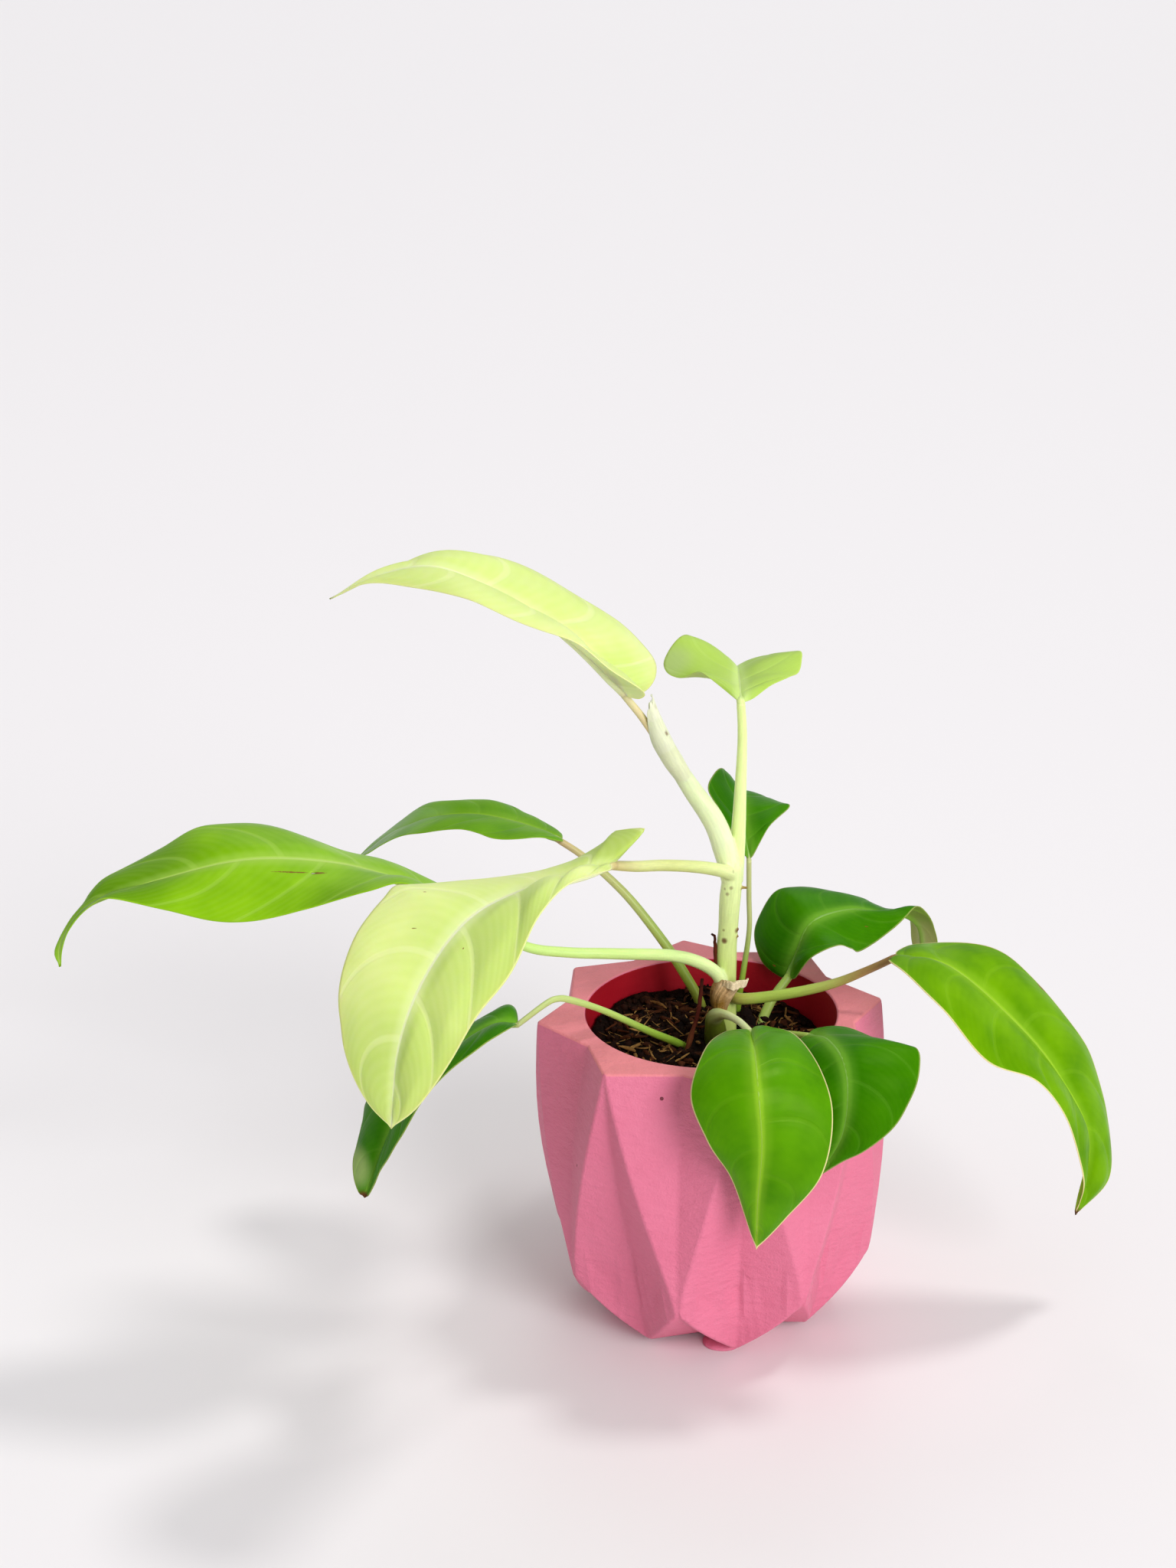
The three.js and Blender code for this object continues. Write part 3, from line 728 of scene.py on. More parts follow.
STALKS = {
    "stem": Stalk(
        [(6, 10, 93), (6, 10, 115), (6, 10, 130), (6.5, 10, 137), (7, 10, 147), (8, 10, 158), (8, 10, 161)],
        [3.6, 3.5, 3.3, 3.6, 3.4, 3.7, 3.4],
        ["#b0c45e", "#c8da7c", "#d2e28c", "#dcea9e", "#e2f0aa"],
    ),
    "sheath": Stalk(
        [(7.5, 10, 156), (6, 10, 164), (2, 10, 176.5), (-5.5, 10, 188.5), (-12, 9, 199.5)],
        [3.5, 4, 3.8, 3.3, 2.8],
        ["#e6f2b0", "#e6f0c0", "#dbe6b2", "#d6dfb2"],
    ),
    "tall": Stalk(
        [(9, 12, 154.5), (10, 14, 168), (11, 15, 189.5), (11.5, 16, 205.5), (11, 16, 217)],
        [2.8, 2.6, 2.1, 1.7, 1.5],
        ["#e2f0a2", "#e3f2a4", "#dff09c"],
    ),
    "left": Stalk(
        [
            (5, 8, 115), (2.5, 5, 123), (-4, 2, 129), (-14, -3, 134), (-33.5, -14, 140),
            (-48.5, -20, 143.5), (-61.5, -25, 148), (-73, -29, 157.5), (-83, -32, 166),
        ],
        [2.4, 2.3, 2.1, 2, 1.9, 1.8, 1.7, 1.5, 1.3],
        ["#e2f0b2", "#d6ee9c", "#c4e084", "#bedc7c", "#aecc60"],
    ),
    "pale": Stalk(
        [(8, 9, 158), (4.5, 4, 161.5), (-4, -8, 168), (-16, -28, 177), (-26, -48, 185), (-34, -64, 192)],
        [2.4, 2.2, 2, 1.9, 1.8, 1.5],
        ["#e2eda8", "#d9e294", "#d2d886", "#d8dc90", "#c9b878"],
    ),
    "right": Stalk(
        [
            (7, 9, 113), (10.5, 5, 113.5), (19, 4, 114.5), (32, 1, 118), (43.5, -1, 122), (55, -3, 128),
            (62, -4, 132),
        ],
        [2.2, 2, 1.9, 1.8, 1.6, 1.4, 1.3],
        ["#a08a48", "#a4ba4c", "#aac252", "#a8ae56", "#a08048", "#96703e"],
    ),
    "newest": Stalk(
        [(-13.5, 8.8, 201), (-18.3, 8.2, 209), (-22.7, 8, 216), (-28, 8, 223)],
        [1.2, 1.3, 1.3, 1.2],
        ["#d0b47c", "#d8c490", "#dcd2a0"],
    ),
    "rear": Stalk(
        [(10, 24, 92), (11.5, 24, 106), (13, 25, 115.5), (15, 27, 129.5), (15, 29, 141.5), (15, 30, 155)],
        [1.1, 1.1, 1, 0.9, 0.9, 0.9],
        ["#7fa020", "#8fae3a", "#b3b878", "#bcc084"],
    ),
    "rear_left": Stalk(
        [
            (0, 28, 94), (-3, 29, 103), (-6.5, 30.5, 109.5), (-13.5, 34, 120.5), (-24.5, 38, 135),
            (-33, 40.5, 144), (-43, 43, 152.5), (-51, 44, 158),
        ],
        [1.9, 1.8, 1.8, 1.7, 1.6, 1.5, 1.3, 1.2],
        ["#7a7428", "#a8c44a", "#bacd6c", "#c6c880", "#bea676"],
    ),
    "hanging": Stalk(
        [
            (-5, 2.5, 93), (-10.5, -1, 99.5), (-21, -7, 107.5), (-36.5, -17, 120.5), (-47.5, -25, 128.5),
            (-52, -28, 130.5), (-56, -31, 130), (-65, -40, 127),
        ],
        [1.5, 1.4, 1.3, 1.2, 1.1, 1.2, 1, 0.9],
        ["#6f9414", "#9cc040", "#b2cc68", "#b9ca7c", "#a9b070"],
    ),
    # The front stalk's broad foot is tinted dark olive, which paints the shade on it
    "front": Stalk(
        [
            (2.5, 2, 93), (2, 1, 99), (1.5, -1, 105.5), (1.3, -4, 111.2), (4, -11, 115.4), (8, -22, 118.2),
            (11, -34, 120),
        ],
        [4, 4, 3.2, 1.7, 1.25, 1.2, 1.2],
        ["#3c4410", "#4a5614", "#5f6e1c", "#c2cc84", "#d9e0a4", "#dfe6b0", "#d5e09a"],
    ),
    "front_right": Stalk(
        [(12, 5, 93), (13, 2, 98), (15, -4, 103), (19, -13, 108.5), (24, -21, 112.5), (31, -28, 115)],
        [1.7, 1.6, 1.5, 1.4, 1.3, 1.2],
        ["#7f9f2e", "#9fb54e"],
    ),
    "curled": Stalk(
        [(14.5, 15.5, 90), (17.5, 16.5, 96), (22.5, 20, 105.5), (29, 24, 113)],
        [1.8, 1.8, 1.7, 1.5],
        ["#b4cc68", "#b2ca62", "#9cb850"],
    ),
    "node_nub": Stalk(
        [(8.8, 9, 137.6), (10, 8.2, 138.3)],
        [0.9, 0.5],
        ["#b08a40", "#6b4418"],
    ),
    "node_spur": Stalk(
        [(8.8, 9, 135.4), (10, 8.2, 135.6)],
        [0.8, 0.4],
        ["#a88440", "#6b4418"],
    ),
    "joint_peg": Stalk(
        [(9.5, 9, 153.3), (13, 8, 153.6)],
        [0.7, 0.45],
        ["#b9a458", "#8a6a30"],
    ),
    "withered_stalk": Stalk(
        [
            (-9, -4.8, 95), (-8.2, -4, 99.5), (-6.8, -2.2, 103.5), (-5.3, 0, 107), (-4.2, 2, 110.2),
            (-3.4, 4, 113.5), (-2.9, 6, 117), (-2.6, 7.5, 120.3),
        ],
        [1.1, 0.9, 1, 0.65, 0.7, 0.7, 0.6, 0.5],
        ["#7a4424", "#6e3a1e", "#50190e", "#5a2012", "#40140c"],
    ),
    "withered_strip": Stalk(
        [(2.3, 9.2, 122.5), (2.1, 9, 127.5), (2, 9, 132.5), (1.8, 8.8, 135.4), (0.9, 8.4, 136.4)],
        [0.5, 0.65, 0.7, 0.5, 0.35],
        ["#5a2412", "#6b2c18", "#5a2412", "#3a180c"],
    ),
}
# The stalks that are one body with the stem, and those that come out of the soil
JOINED = ("stem", "sheath", "tall", "left", "pale", "right", "node_nub", "node_spur", "joint_peg")
ROOTED = ("stem", "rear", "rear_left", "hanging", "front", "front_right", "curled")

# Brown marks on the joints: middle, radius and strength
STEM_MARKS = [
    ((5, 6.8, 134.6), 1.3, 0.95),
    ((4.8, 7.2, 138.4), 0.6, 0.6),
    ((9.3, 8.1, 137.9), 1.2, 0.7),
    ((7.3, 6.5, 154.2), 0.8, 0.6),
    ((6, 6.7, 151.9), 0.8, 0.6),
    ((5, 7.2, 153.6), 0.6, 0.6),
    ((8, 5.1, 160.9), 0.8, 0.4),
    ((-33.2, -62.5, 191.6), 1.9, 0.45),
]


@dataclass
class Leaf:
    """One leaf: a thin blade between its midrib and its two margins, all in millimetres, from stalk to tip."""

    node: str
    finish: BladeFinish
    stalk: str
    # The height and the number of the margin's waves
    wave: tuple[float, int]
    rib: Sequence[Point]
    left: Sequence[Point]
    right: Sequence[Point]
    # The veins, how far they sweep forward, and how much the left and the right half bulge between them
    veins: int = 6
    sweep: float = 0.12
    quilt: tuple[float, float] = (0.35, 0.35)
    quilt_room: float = 12.0
    # Burnt tips by radius, patches of painted shade, painted sheen and tone by radius and strength, brown marks by
    # width and length, holes by radius
    scars: Sequence[tuple[Point, float]] = ()
    ages: Sequence[tuple[Point, float, float]] = ()
    marks: Sequence[tuple[Point, float, float]] = ()
    holes: Sequence[tuple[Point, float]] = ()
    rows: int = 120
    columns: int = 28
    thickness: float = 0.85
    camber: float = 0.06
    # Whether the margins' rows are spaced by length, which suits margins with many points
    even: bool = False
    groove_depth: float = 0.3
    groove_width: float = 1.3
    unevenness: float = 0.4
    # The rib: how its rows lag behind the margins', its radius near the tip, where it ends and how fast it thins
    rib_sweep: float = 1.35
    rib_tip: float = 0.35
    rib_end: float = 0.93
    rib_thinning: float = 2.2
    rib_stations: int = 31
    paths: list[SmoothCurve] = field(default_factory=list)

    def row(self, along: float) -> tuple[Vector, list[Vector], list[Vector]]:
        """Works out one row of the blade.

        Args:
            along: The row's share from stalk to tip.

        Returns:
            The spot on the midrib, the reach to both margins, and the way up on both halves.
        """
        if not self.paths:
            margins = [[self.rib[0], *side, self.rib[-1]] for side in (self.left, self.right)]
            self.paths = [SmoothCurve(points) for points in (self.rib, *margins)]
        middle, *margins = self.paths
        share = along**self.rib_sweep
        centre = middle.at(share)
        heading = middle.heading(share)
        reaches = [(margin.at(along) if self.even else margin.point(along)) - centre for margin in margins]
        ups = [heading.cross(reaches[0]), reaches[1].cross(heading)]
        return centre, reaches, [up.normalized() if up.length > 1e-6 else Vector((0, 0, 1)) for up in ups]

    def spot(self, across: float, along: float, row: tuple) -> tuple[Vector, Vector]:
        """Finds one spot on the blade.

        Args:
            across: From -1 at the left margin to 1 at the right one.
            along: The share from stalk to tip.
            row: What row() gave for this share.

        Returns:
            The spot, and its distance from the rib, vein number and distance from the margin.
        """
        centre, reaches, ups = row
        side = 0 if across < 0 else 1
        out = abs(across)
        reach, up = reaches[side], ups[side]
        wave_height, wave_count = self.wave
        width = reach.length
        off_rib = out * width
        arch = self.camber * width * 4 * out * (1 - out)
        ripple = wave_height * out**2 * math.sin(math.pi * along)
        ripple *= math.sin(2 * math.pi * wave_count * along + side)
        number = self.veins * (along - self.sweep * out**2.5) + 0.5 * (1 - side)
        between = math.sin(math.pi * (number % 1)) ** 0.8
        room = min(1, width / self.quilt_room)
        quilt = self.quilt[side] * between * ramp(out, 0.0, 0.3) * (1 - ramp(out, 0.65, 1)) * room
        groove = self.groove_depth * math.exp(-((off_rib / self.groove_width) ** 2)) * ramp(along, 0, 0.05)
        place = centre + reach * out + up * (arch + ripple + quilt - groove)
        place += up * self.unevenness * ramp(out, 0.05, 0.4) * noise.noise(place * 0.07)
        # The rib's pale band narrows towards the tip
        taper = 1.6 - 1.2 * along
        return place, Vector((math.copysign(off_rib / taper, across), number, (1 - out) * width))

    def build(self) -> bpy.types.Object:
        """Makes the blade, thick at the rib and thin at the margin.

        Returns:
            The blade.
        """
        sheet = bmesh.new()
        bmesh.ops.create_grid(sheet, x_segments=2 * self.columns, y_segments=self.rows, size=1)
        blade = sheet.verts.layers.float_vector.new("blade")
        scar = sheet.verts.layers.float.new("scar")
        age = sheet.verts.layers.float.new("age")
        rows = [self.row(number / self.rows) for number in range(self.rows + 1)]
        for corner in sheet.verts:
            number = round((corner.co.y + 1) / 2 * self.rows)
            corner.co, corner[blade] = self.spot(corner.co.x, number / self.rows, rows[number])
        for corner in sheet.verts:
            for middle, radius in self.scars:
                gap = (corner.co - Vector(middle)).length
                corner[scar] = max(corner[scar], 1 - ramp(gap, 0.5 * radius, radius))
            # Patches of painted shade, painted sheen and other tone, strongest at their middles
            for middle, radius, most in self.ages:
                gap = (corner.co - Vector(middle)).length
                corner[age] = max(corner[age], most * (1 - ramp(gap, 0.3 * radius, radius)))
        marks = []
        for middle, wide, long in self.marks:
            nearest = min(sheet.verts, key=lambda corner, spot=Vector(middle): (corner.co - spot).length)
            per_mm = self.veins / self.paths[0].length
            marks.append((nearest[blade][:2] + (0.0,), (1 / wide, 1 / (long * per_mm), 0.0)))
        spots = {face: face.calc_center_median() for face in sheet.faces} if self.holes else {}
        torn = set()
        for middle, radius in self.holes:
            nearest = min(spots.values(), key=lambda spot, hole=Vector(middle): (spot - hole).length)
            torn.update(face for face, spot in spots.items() if (spot - nearest).length < radius)
        bmesh.ops.delete(sheet, geom=list(torn), context="FACES")
        bmesh.ops.remove_doubles(sheet, verts=sheet.verts, dist=0.005)
        weights = []
        for corner in sheet.verts:
            off_rib, _, margin = corner[blade]
            body = 0.55 + 0.45 * math.exp(-((off_rib / 2) ** 2))
            weights.append(body * min(1, 0.45 + margin / 5))
        skins = [self.finish.dress(below, marks) for below in (False, True)]
        piece = finish_piece(f"{self.node}_blade", sheet, skins, [self.node])
        group = piece.vertex_groups.new(name="thickness")
        for number, weight in enumerate(weights):
            group.add([number], weight, "REPLACE")
        skin = piece.modifiers.new("thickness", "SOLIDIFY")
        skin.thickness = self.thickness * MM
        skin.offset = 0
        skin.vertex_group = group.name
        skin.material_offset = 1
        return piece

    def build_rib(self) -> bpy.types.Object:
        """Makes the rib, which runs on from the stalk under the blade and thins towards the tip.

        Returns:
            The rib.
        """
        stalk = STALKS[self.stalk].strand()
        base = stalk.radii[-1]
        # It starts inside the end of the stalk
        stations = [(stalk.centres[-3], base - 0.3), (stalk.centres[-1], base - 0.06)]
        for i in range(1, self.rib_stations + 1):
            share = self.rib_end * i / self.rib_stations
            centre, _, ups = self.row(share ** (1 / self.rib_sweep))
            up = (ups[0] + ups[1]).normalized()
            radius = self.rib_tip + (base - self.rib_tip) * (1 - share) ** self.rib_thinning
            stations.append((centre - up * (0.8 * radius - 0.1) * ramp(share, 0, 0.08), radius))
        spine = bmesh.new()
        add_tube(spine, stations, 12)
        piece = finish_piece(f"{self.node}_rib", spine, [STALK_SKIN.dress()])
        tints = np.array([stalk.tints[-1]] * 2 + [np.array(linear(self.finish.rib))] * self.rib_stations)
        paint_stalks(piece.data, [Strand([s[0] for s in stations], [s[1] for s in stations], tints)], ())
        return piece


def add_tube(body: bmesh.types.BMesh, stations: Sequence[tuple[Vector, float]], sides: int) -> None:
    """Adds a closed tube through stations to a mesh.

    Args:
        body: The mesh.
        stations: The centre and the radius at each station.
        sides: How many sides the tube has.
    """
    frames = []
    side = None
    for i, (centre, radius) in enumerate(stations):
        heading = (stations[min(i + 1, len(stations) - 1)][0] - stations[max(i - 1, 0)][0]).normalized()
        side = heading.orthogonal() if side is None else side - heading * side.dot(heading)
        side = side.normalized()
        frames.append((centre, radius, side, heading.cross(side)))
    made = bmesh.ops.create_grid(body, x_segments=sides, y_segments=len(stations) + 1, size=1)
    for corner in made["verts"]:
        turn = math.pi * (corner.co.x + 1)
        place = round((corner.co.y + 1) / 2 * (len(stations) + 1))
        centre, radius, side, top = frames[min(max(place - 1, 0), len(stations) - 1)]
        if place in (0, len(stations) + 1):
            radius = 0
        corner.co = centre + radius * (math.cos(turn) * side + math.sin(turn) * top)
    bmesh.ops.remove_doubles(body, verts=made["verts"], dist=1e-4)
    bmesh.ops.recalc_face_normals(body, faces=body.faces)


def paint_stalks(
    data: bpy.types.Mesh, strands: Sequence[Strand], scars: Sequence[tuple[Point, float, float]]
) -> None:
    """Marks each vertex with its place round and along its stalk, its tint and its scars.

    Args:
        data: The mesh, in metres.
        strands: The stalks that the mesh holds.
        scars: The middle, the radius and the strength of each brown mark, in millimetres.
    """
    count = len(data.vertices)
    flat = np.empty(count * 3, dtype=np.float32)
    data.vertices.foreach_get("co", flat)
    spots = flat.reshape(-1, 3) / MM
    nearest = np.full(count, np.inf)
    grain = np.zeros((count, 3), dtype=np.float32)
    tints = np.zeros((count, 4), dtype=np.float32)
    total = np.zeros(count, dtype=np.float32)
    for strand in strands:
        centres = np.array([tuple(c) for c in strand.centres], dtype=np.float32)
        steps = np.linalg.norm(np.diff(centres, axis=0), axis=1)
        along = np.concatenate([[0], np.cumsum(steps)])
        axis = centres[-1] - centres[0]
        # Any direction that no stalk follows
        side = np.cross(axis, (0.3, 0.2, 0.93))
        side /= np.linalg.norm(side)
        top = np.cross(axis / np.linalg.norm(axis), side)
        gaps = np.linalg.norm(spots[:, None, :] - centres[None], axis=2) - np.array(strand.radii)[None]
        pick = gaps.argmin(axis=1)
        gap = np.maximum(gaps[np.arange(count), pick], 0)
        off = spots - centres[pick]
        off /= np.maximum(np.linalg.norm(off, axis=1, keepdims=True), 1e-6)
        closer = gap < nearest
        nearest = np.where(closer, gap, nearest)
        grain[closer] = np.stack([off @ side, off @ top, along[pick]], axis=1)[closer]
        weight = 1 / (gap + TINT_BLEND) ** 2
        tints += strand.tints[pick] * weight[:, None]
        total += weight
    tints /= total[:, None]
    marks = np.zeros(count, dtype=np.float32)
    for middle, radius, strength in scars:
        gap = np.linalg.norm(spots - np.array(middle), axis=1)
        marks = np.maximum(marks, strength * np.clip((radius - gap) / (0.5 * radius), 0, 1))
    for name, kind, key, values in (
        ("grain", "FLOAT_VECTOR", "vector", grain),
        ("tint", "FLOAT_COLOR", "color", tints),
        ("scar", "FLOAT", "value", marks),
    ):
        layer = data.attributes.new(name, kind, "POINT")
        layer.data.foreach_set(key, values.astype(np.float32).ravel())


@dataclass
class Shoots:
    """Stalks that are one body, such as the main stem with what grows from it."""

    name: str
    node: str
    slot: str
    stalks: Sequence[Stalk]
    scars: Sequence[tuple[Point, float, float]] = ()
    finish: StalkFinish = STALK_SKIN
    sides: int = 16
    # The facets of the skin that joins the stalks, if they are joined, and how knobbly they are
    grain: float | None = None
    knots: float = 0.0

    def build(self) -> bpy.types.Object:
        """Makes the stalks and paints them.

        Returns:
            The stalks as one piece.
        """
        body = bmesh.new()
        strands = [stalk.strand() for stalk in self.stalks]
        for strand in strands:
            add_tube(body, list(zip(strand.centres, strand.radii)), self.sides)
        for corner in body.verts:
            corner.co += self.knots * noise.noise_vector(corner.co * 0.5)
        piece = finish_piece(self.name, body, [self.finish.dress()], [self.node])
        if self.grain:
            melt(piece, self.grain, 4)
        paint_stalks(piece.data, strands, self.scars)
        return piece


@dataclass
class TornSheath:
    """The top of the sheath that the newest leaf came out of: thin, pale and torn open on its left side."""

    path: Sequence[Point] = (
        (-7.5, 9.6, 192), (-12, 9, 199.5), (-15.4, 8.7, 206), (-18.4, 8.4, 213.5), (-20.8, 8, 222),
    )
    radii: Sequence[float] = (2.6, 3.2, 3.2, 2.8, 2.1)
    # Half the slit's angle at its foot and at the top, and the way that the back faces, in degrees
    mouth: tuple[float, float] = (6.0, 85.0)
    back: float = 8.0
    # How much shorter the sheath is beside the slit, as a share of its length
    slant: float = 0.13
    dents: float = 0.25
    wall: float = 0.35
    marks: Sequence[tuple[Point, float, float]] = (((-14.3, 7, 209.8), 1.0, 0.8), ((-17.4, 6.6, 219.5), 1.2, 0.35))

    def build(self) -> bpy.types.Object:
        """Makes the torn top from an open sheet that is bent round the stalk.

        Returns:
            The torn top.
        """
        path = SmoothCurve(self.path)
        sheet = bmesh.new()
        bmesh.ops.create_grid(sheet, x_segments=48, y_segments=40, size=1)
        for corner in sheet.verts:
            turn, up = corner.co.x, (corner.co.y + 1) / 2
            ragged = 0.1 * noise.noise(Vector((turn * 4, 3, 1))) + 0.05 * noise.noise(Vector((turn * 13, 5, 1)))
            share = up if up <= 0.5 else 0.5 + (up - 0.5) * 2 * (0.5 - self.slant * abs(turn) ** 1.5 + ragged)
            half = math.radians(180 - self.mouth[0] - (self.mouth[1] - self.mouth[0]) * ramp(share, 0.4, 1))
            angle = half * turn + math.radians(self.back)
            place = share * (len(self.radii) - 1)
            k = min(int(place), len(self.radii) - 2)
            radius = self.radii[k] + (self.radii[k + 1] - self.radii[k]) * (place - k)
            radius += self.dents * noise.noise(Vector((turn * 3, share * 5, 7))) * ramp(share, 0.2, 0.6)
            heading = path.heading(share)
            across = Vector((1, 0, 0)) - heading * heading.x
            across.normalize()
            front = across.cross(heading)
            corner.co = path.at(share) + radius * (math.cos(angle) * across + math.sin(angle) * front)
        piece = finish_piece("torn_sheath", sheet, [SHEATH_SKIN.dress()])
        line = [path.at(i / 20) for i in range(21)]
        tints = np.array([linear("#d9e1b1")] * 9 + [linear("#dde4ba")] * 7 + [linear("#e2e6c3")] * 5)
        paint_stalks(piece.data, [Strand(line, [2.0] * len(line), tints)], self.marks)
        skin = piece.modifiers.new("wall", "SOLIDIFY")
        skin.thickness = self.wall * MM
        skin.offset = 0
        return piece


@dataclass
class PaperSheath:
    """The dried sheath at the foot of the stem: pleated, torn and papery, with a hem that curls over."""

    # Its lines from the foot over the hem
    left: Sequence[Point] = (
        (2.4, 2.5, 108), (0.6, 3.5, 111.4), (0.1, 4, 115.5), (0.7, 5, 118.5), (2.2, 6.5, 120.5),
        (3.2, 6, 121.2), (2.8, 4.6, 120.6),
    )
    middle: Sequence[Point] = (
        (3.4, 1.2, 108), (2.5, 0, 112.5), (3, -0.7, 116.7), (4.9, -0.2, 119.6), (6.4, 1.2, 121.6),
        (7.2, -0.5, 122.2), (7, -1.9, 120.2),
    )
    right: Sequence[Point] = (
        (5, 2.2, 108.2), (6, 2.5, 112.4), (7.7, 3, 115.6), (9.6, 3.5, 118.2), (11.8, 4, 120.6),
        (13, 2.6, 122.3), (12.2, 0.9, 120.6),
    )
    pleats: float = 0.38
    hem: float = 0.7
    wall: float = 0.3
    marks: Sequence[tuple[Point, float, float]] = (((6.8, 0.5, 114.5), 1.6, 0.7), ((1, 3, 117), 1.2, 0.6))

    def build(self) -> bpy.types.Object:
        """Makes the sheath.

        Returns:
            The sheath.
        """
        lines = [SmoothCurve(points) for points in (self.left, self.middle, self.right)]
        sheet = bmesh.new()
        bmesh.ops.create_grid(sheet, x_segments=60, y_segments=70, size=1)
        for corner in sheet.verts:
            across, along = corner.co.x, (corner.co.y + 1) / 2
            left, middle, right = (line.point(along) for line in lines)
            place = middle + (right - left) * across / 2 + ((left + right) / 2 - middle) * across**2
            # Broad pleats with finer ones on them, which wander and swell at random
            bend = across + 0.3 * noise.noise(Vector((across, along * 2, 4)))
            fold = math.sin(8 * bend + 2 * along) + 0.5 * math.sin(19 * bend + 2)
            fold += 0.9 * noise.noise(Vector((across * 2, along * 4, 9)))
            hem = self.hem * noise.noise(Vector((across * 4, 2, 8))) * ramp(along, 0.6, 0.8)
            corner.co = place + Vector((0.3, -1, 0.1)) * self.pleats * fold * ramp(along, 0, 0.3)
            corner.co.z += hem
        piece = finish_piece("paper_sheath_skin", sheet, [DRY_SKIN.dress()], ["paper_sheath"])
        # Its tints follow the hem, the right, the left and the middle
        tinted = [
            Stalk([(2, 5, 121), (7, -1.4, 121.4), (13, 1.8, 121.6)], [1] * 3, ["#bc8c54", "#eed8b0", "#f4e2bc"]),
            Stalk([(5.5, 2, 110), (8, 2, 115), (10.5, 3, 119.5)], [1] * 3, ["#9c7238", "#d8b482", "#ecd2a8"]),
            Stalk([(1, 3, 110), (0.6, 4, 115), (1.8, 5, 119)], [1] * 3, ["#5c4016", "#72561e", "#b0844a"]),
            Stalk([(3.4, 0.5, 108), (3, -0.5, 116), (5, 0, 119.5)], [1] * 3, ["#b88c52", "#98702a", "#d8b07e"]),
        ]
        paint_stalks(piece.data, [line.strand() for line in tinted], self.marks)
        skin = piece.modifiers.new("wall", "SOLIDIFY")
        skin.thickness = self.wall * MM
        skin.offset = 0
        return piece


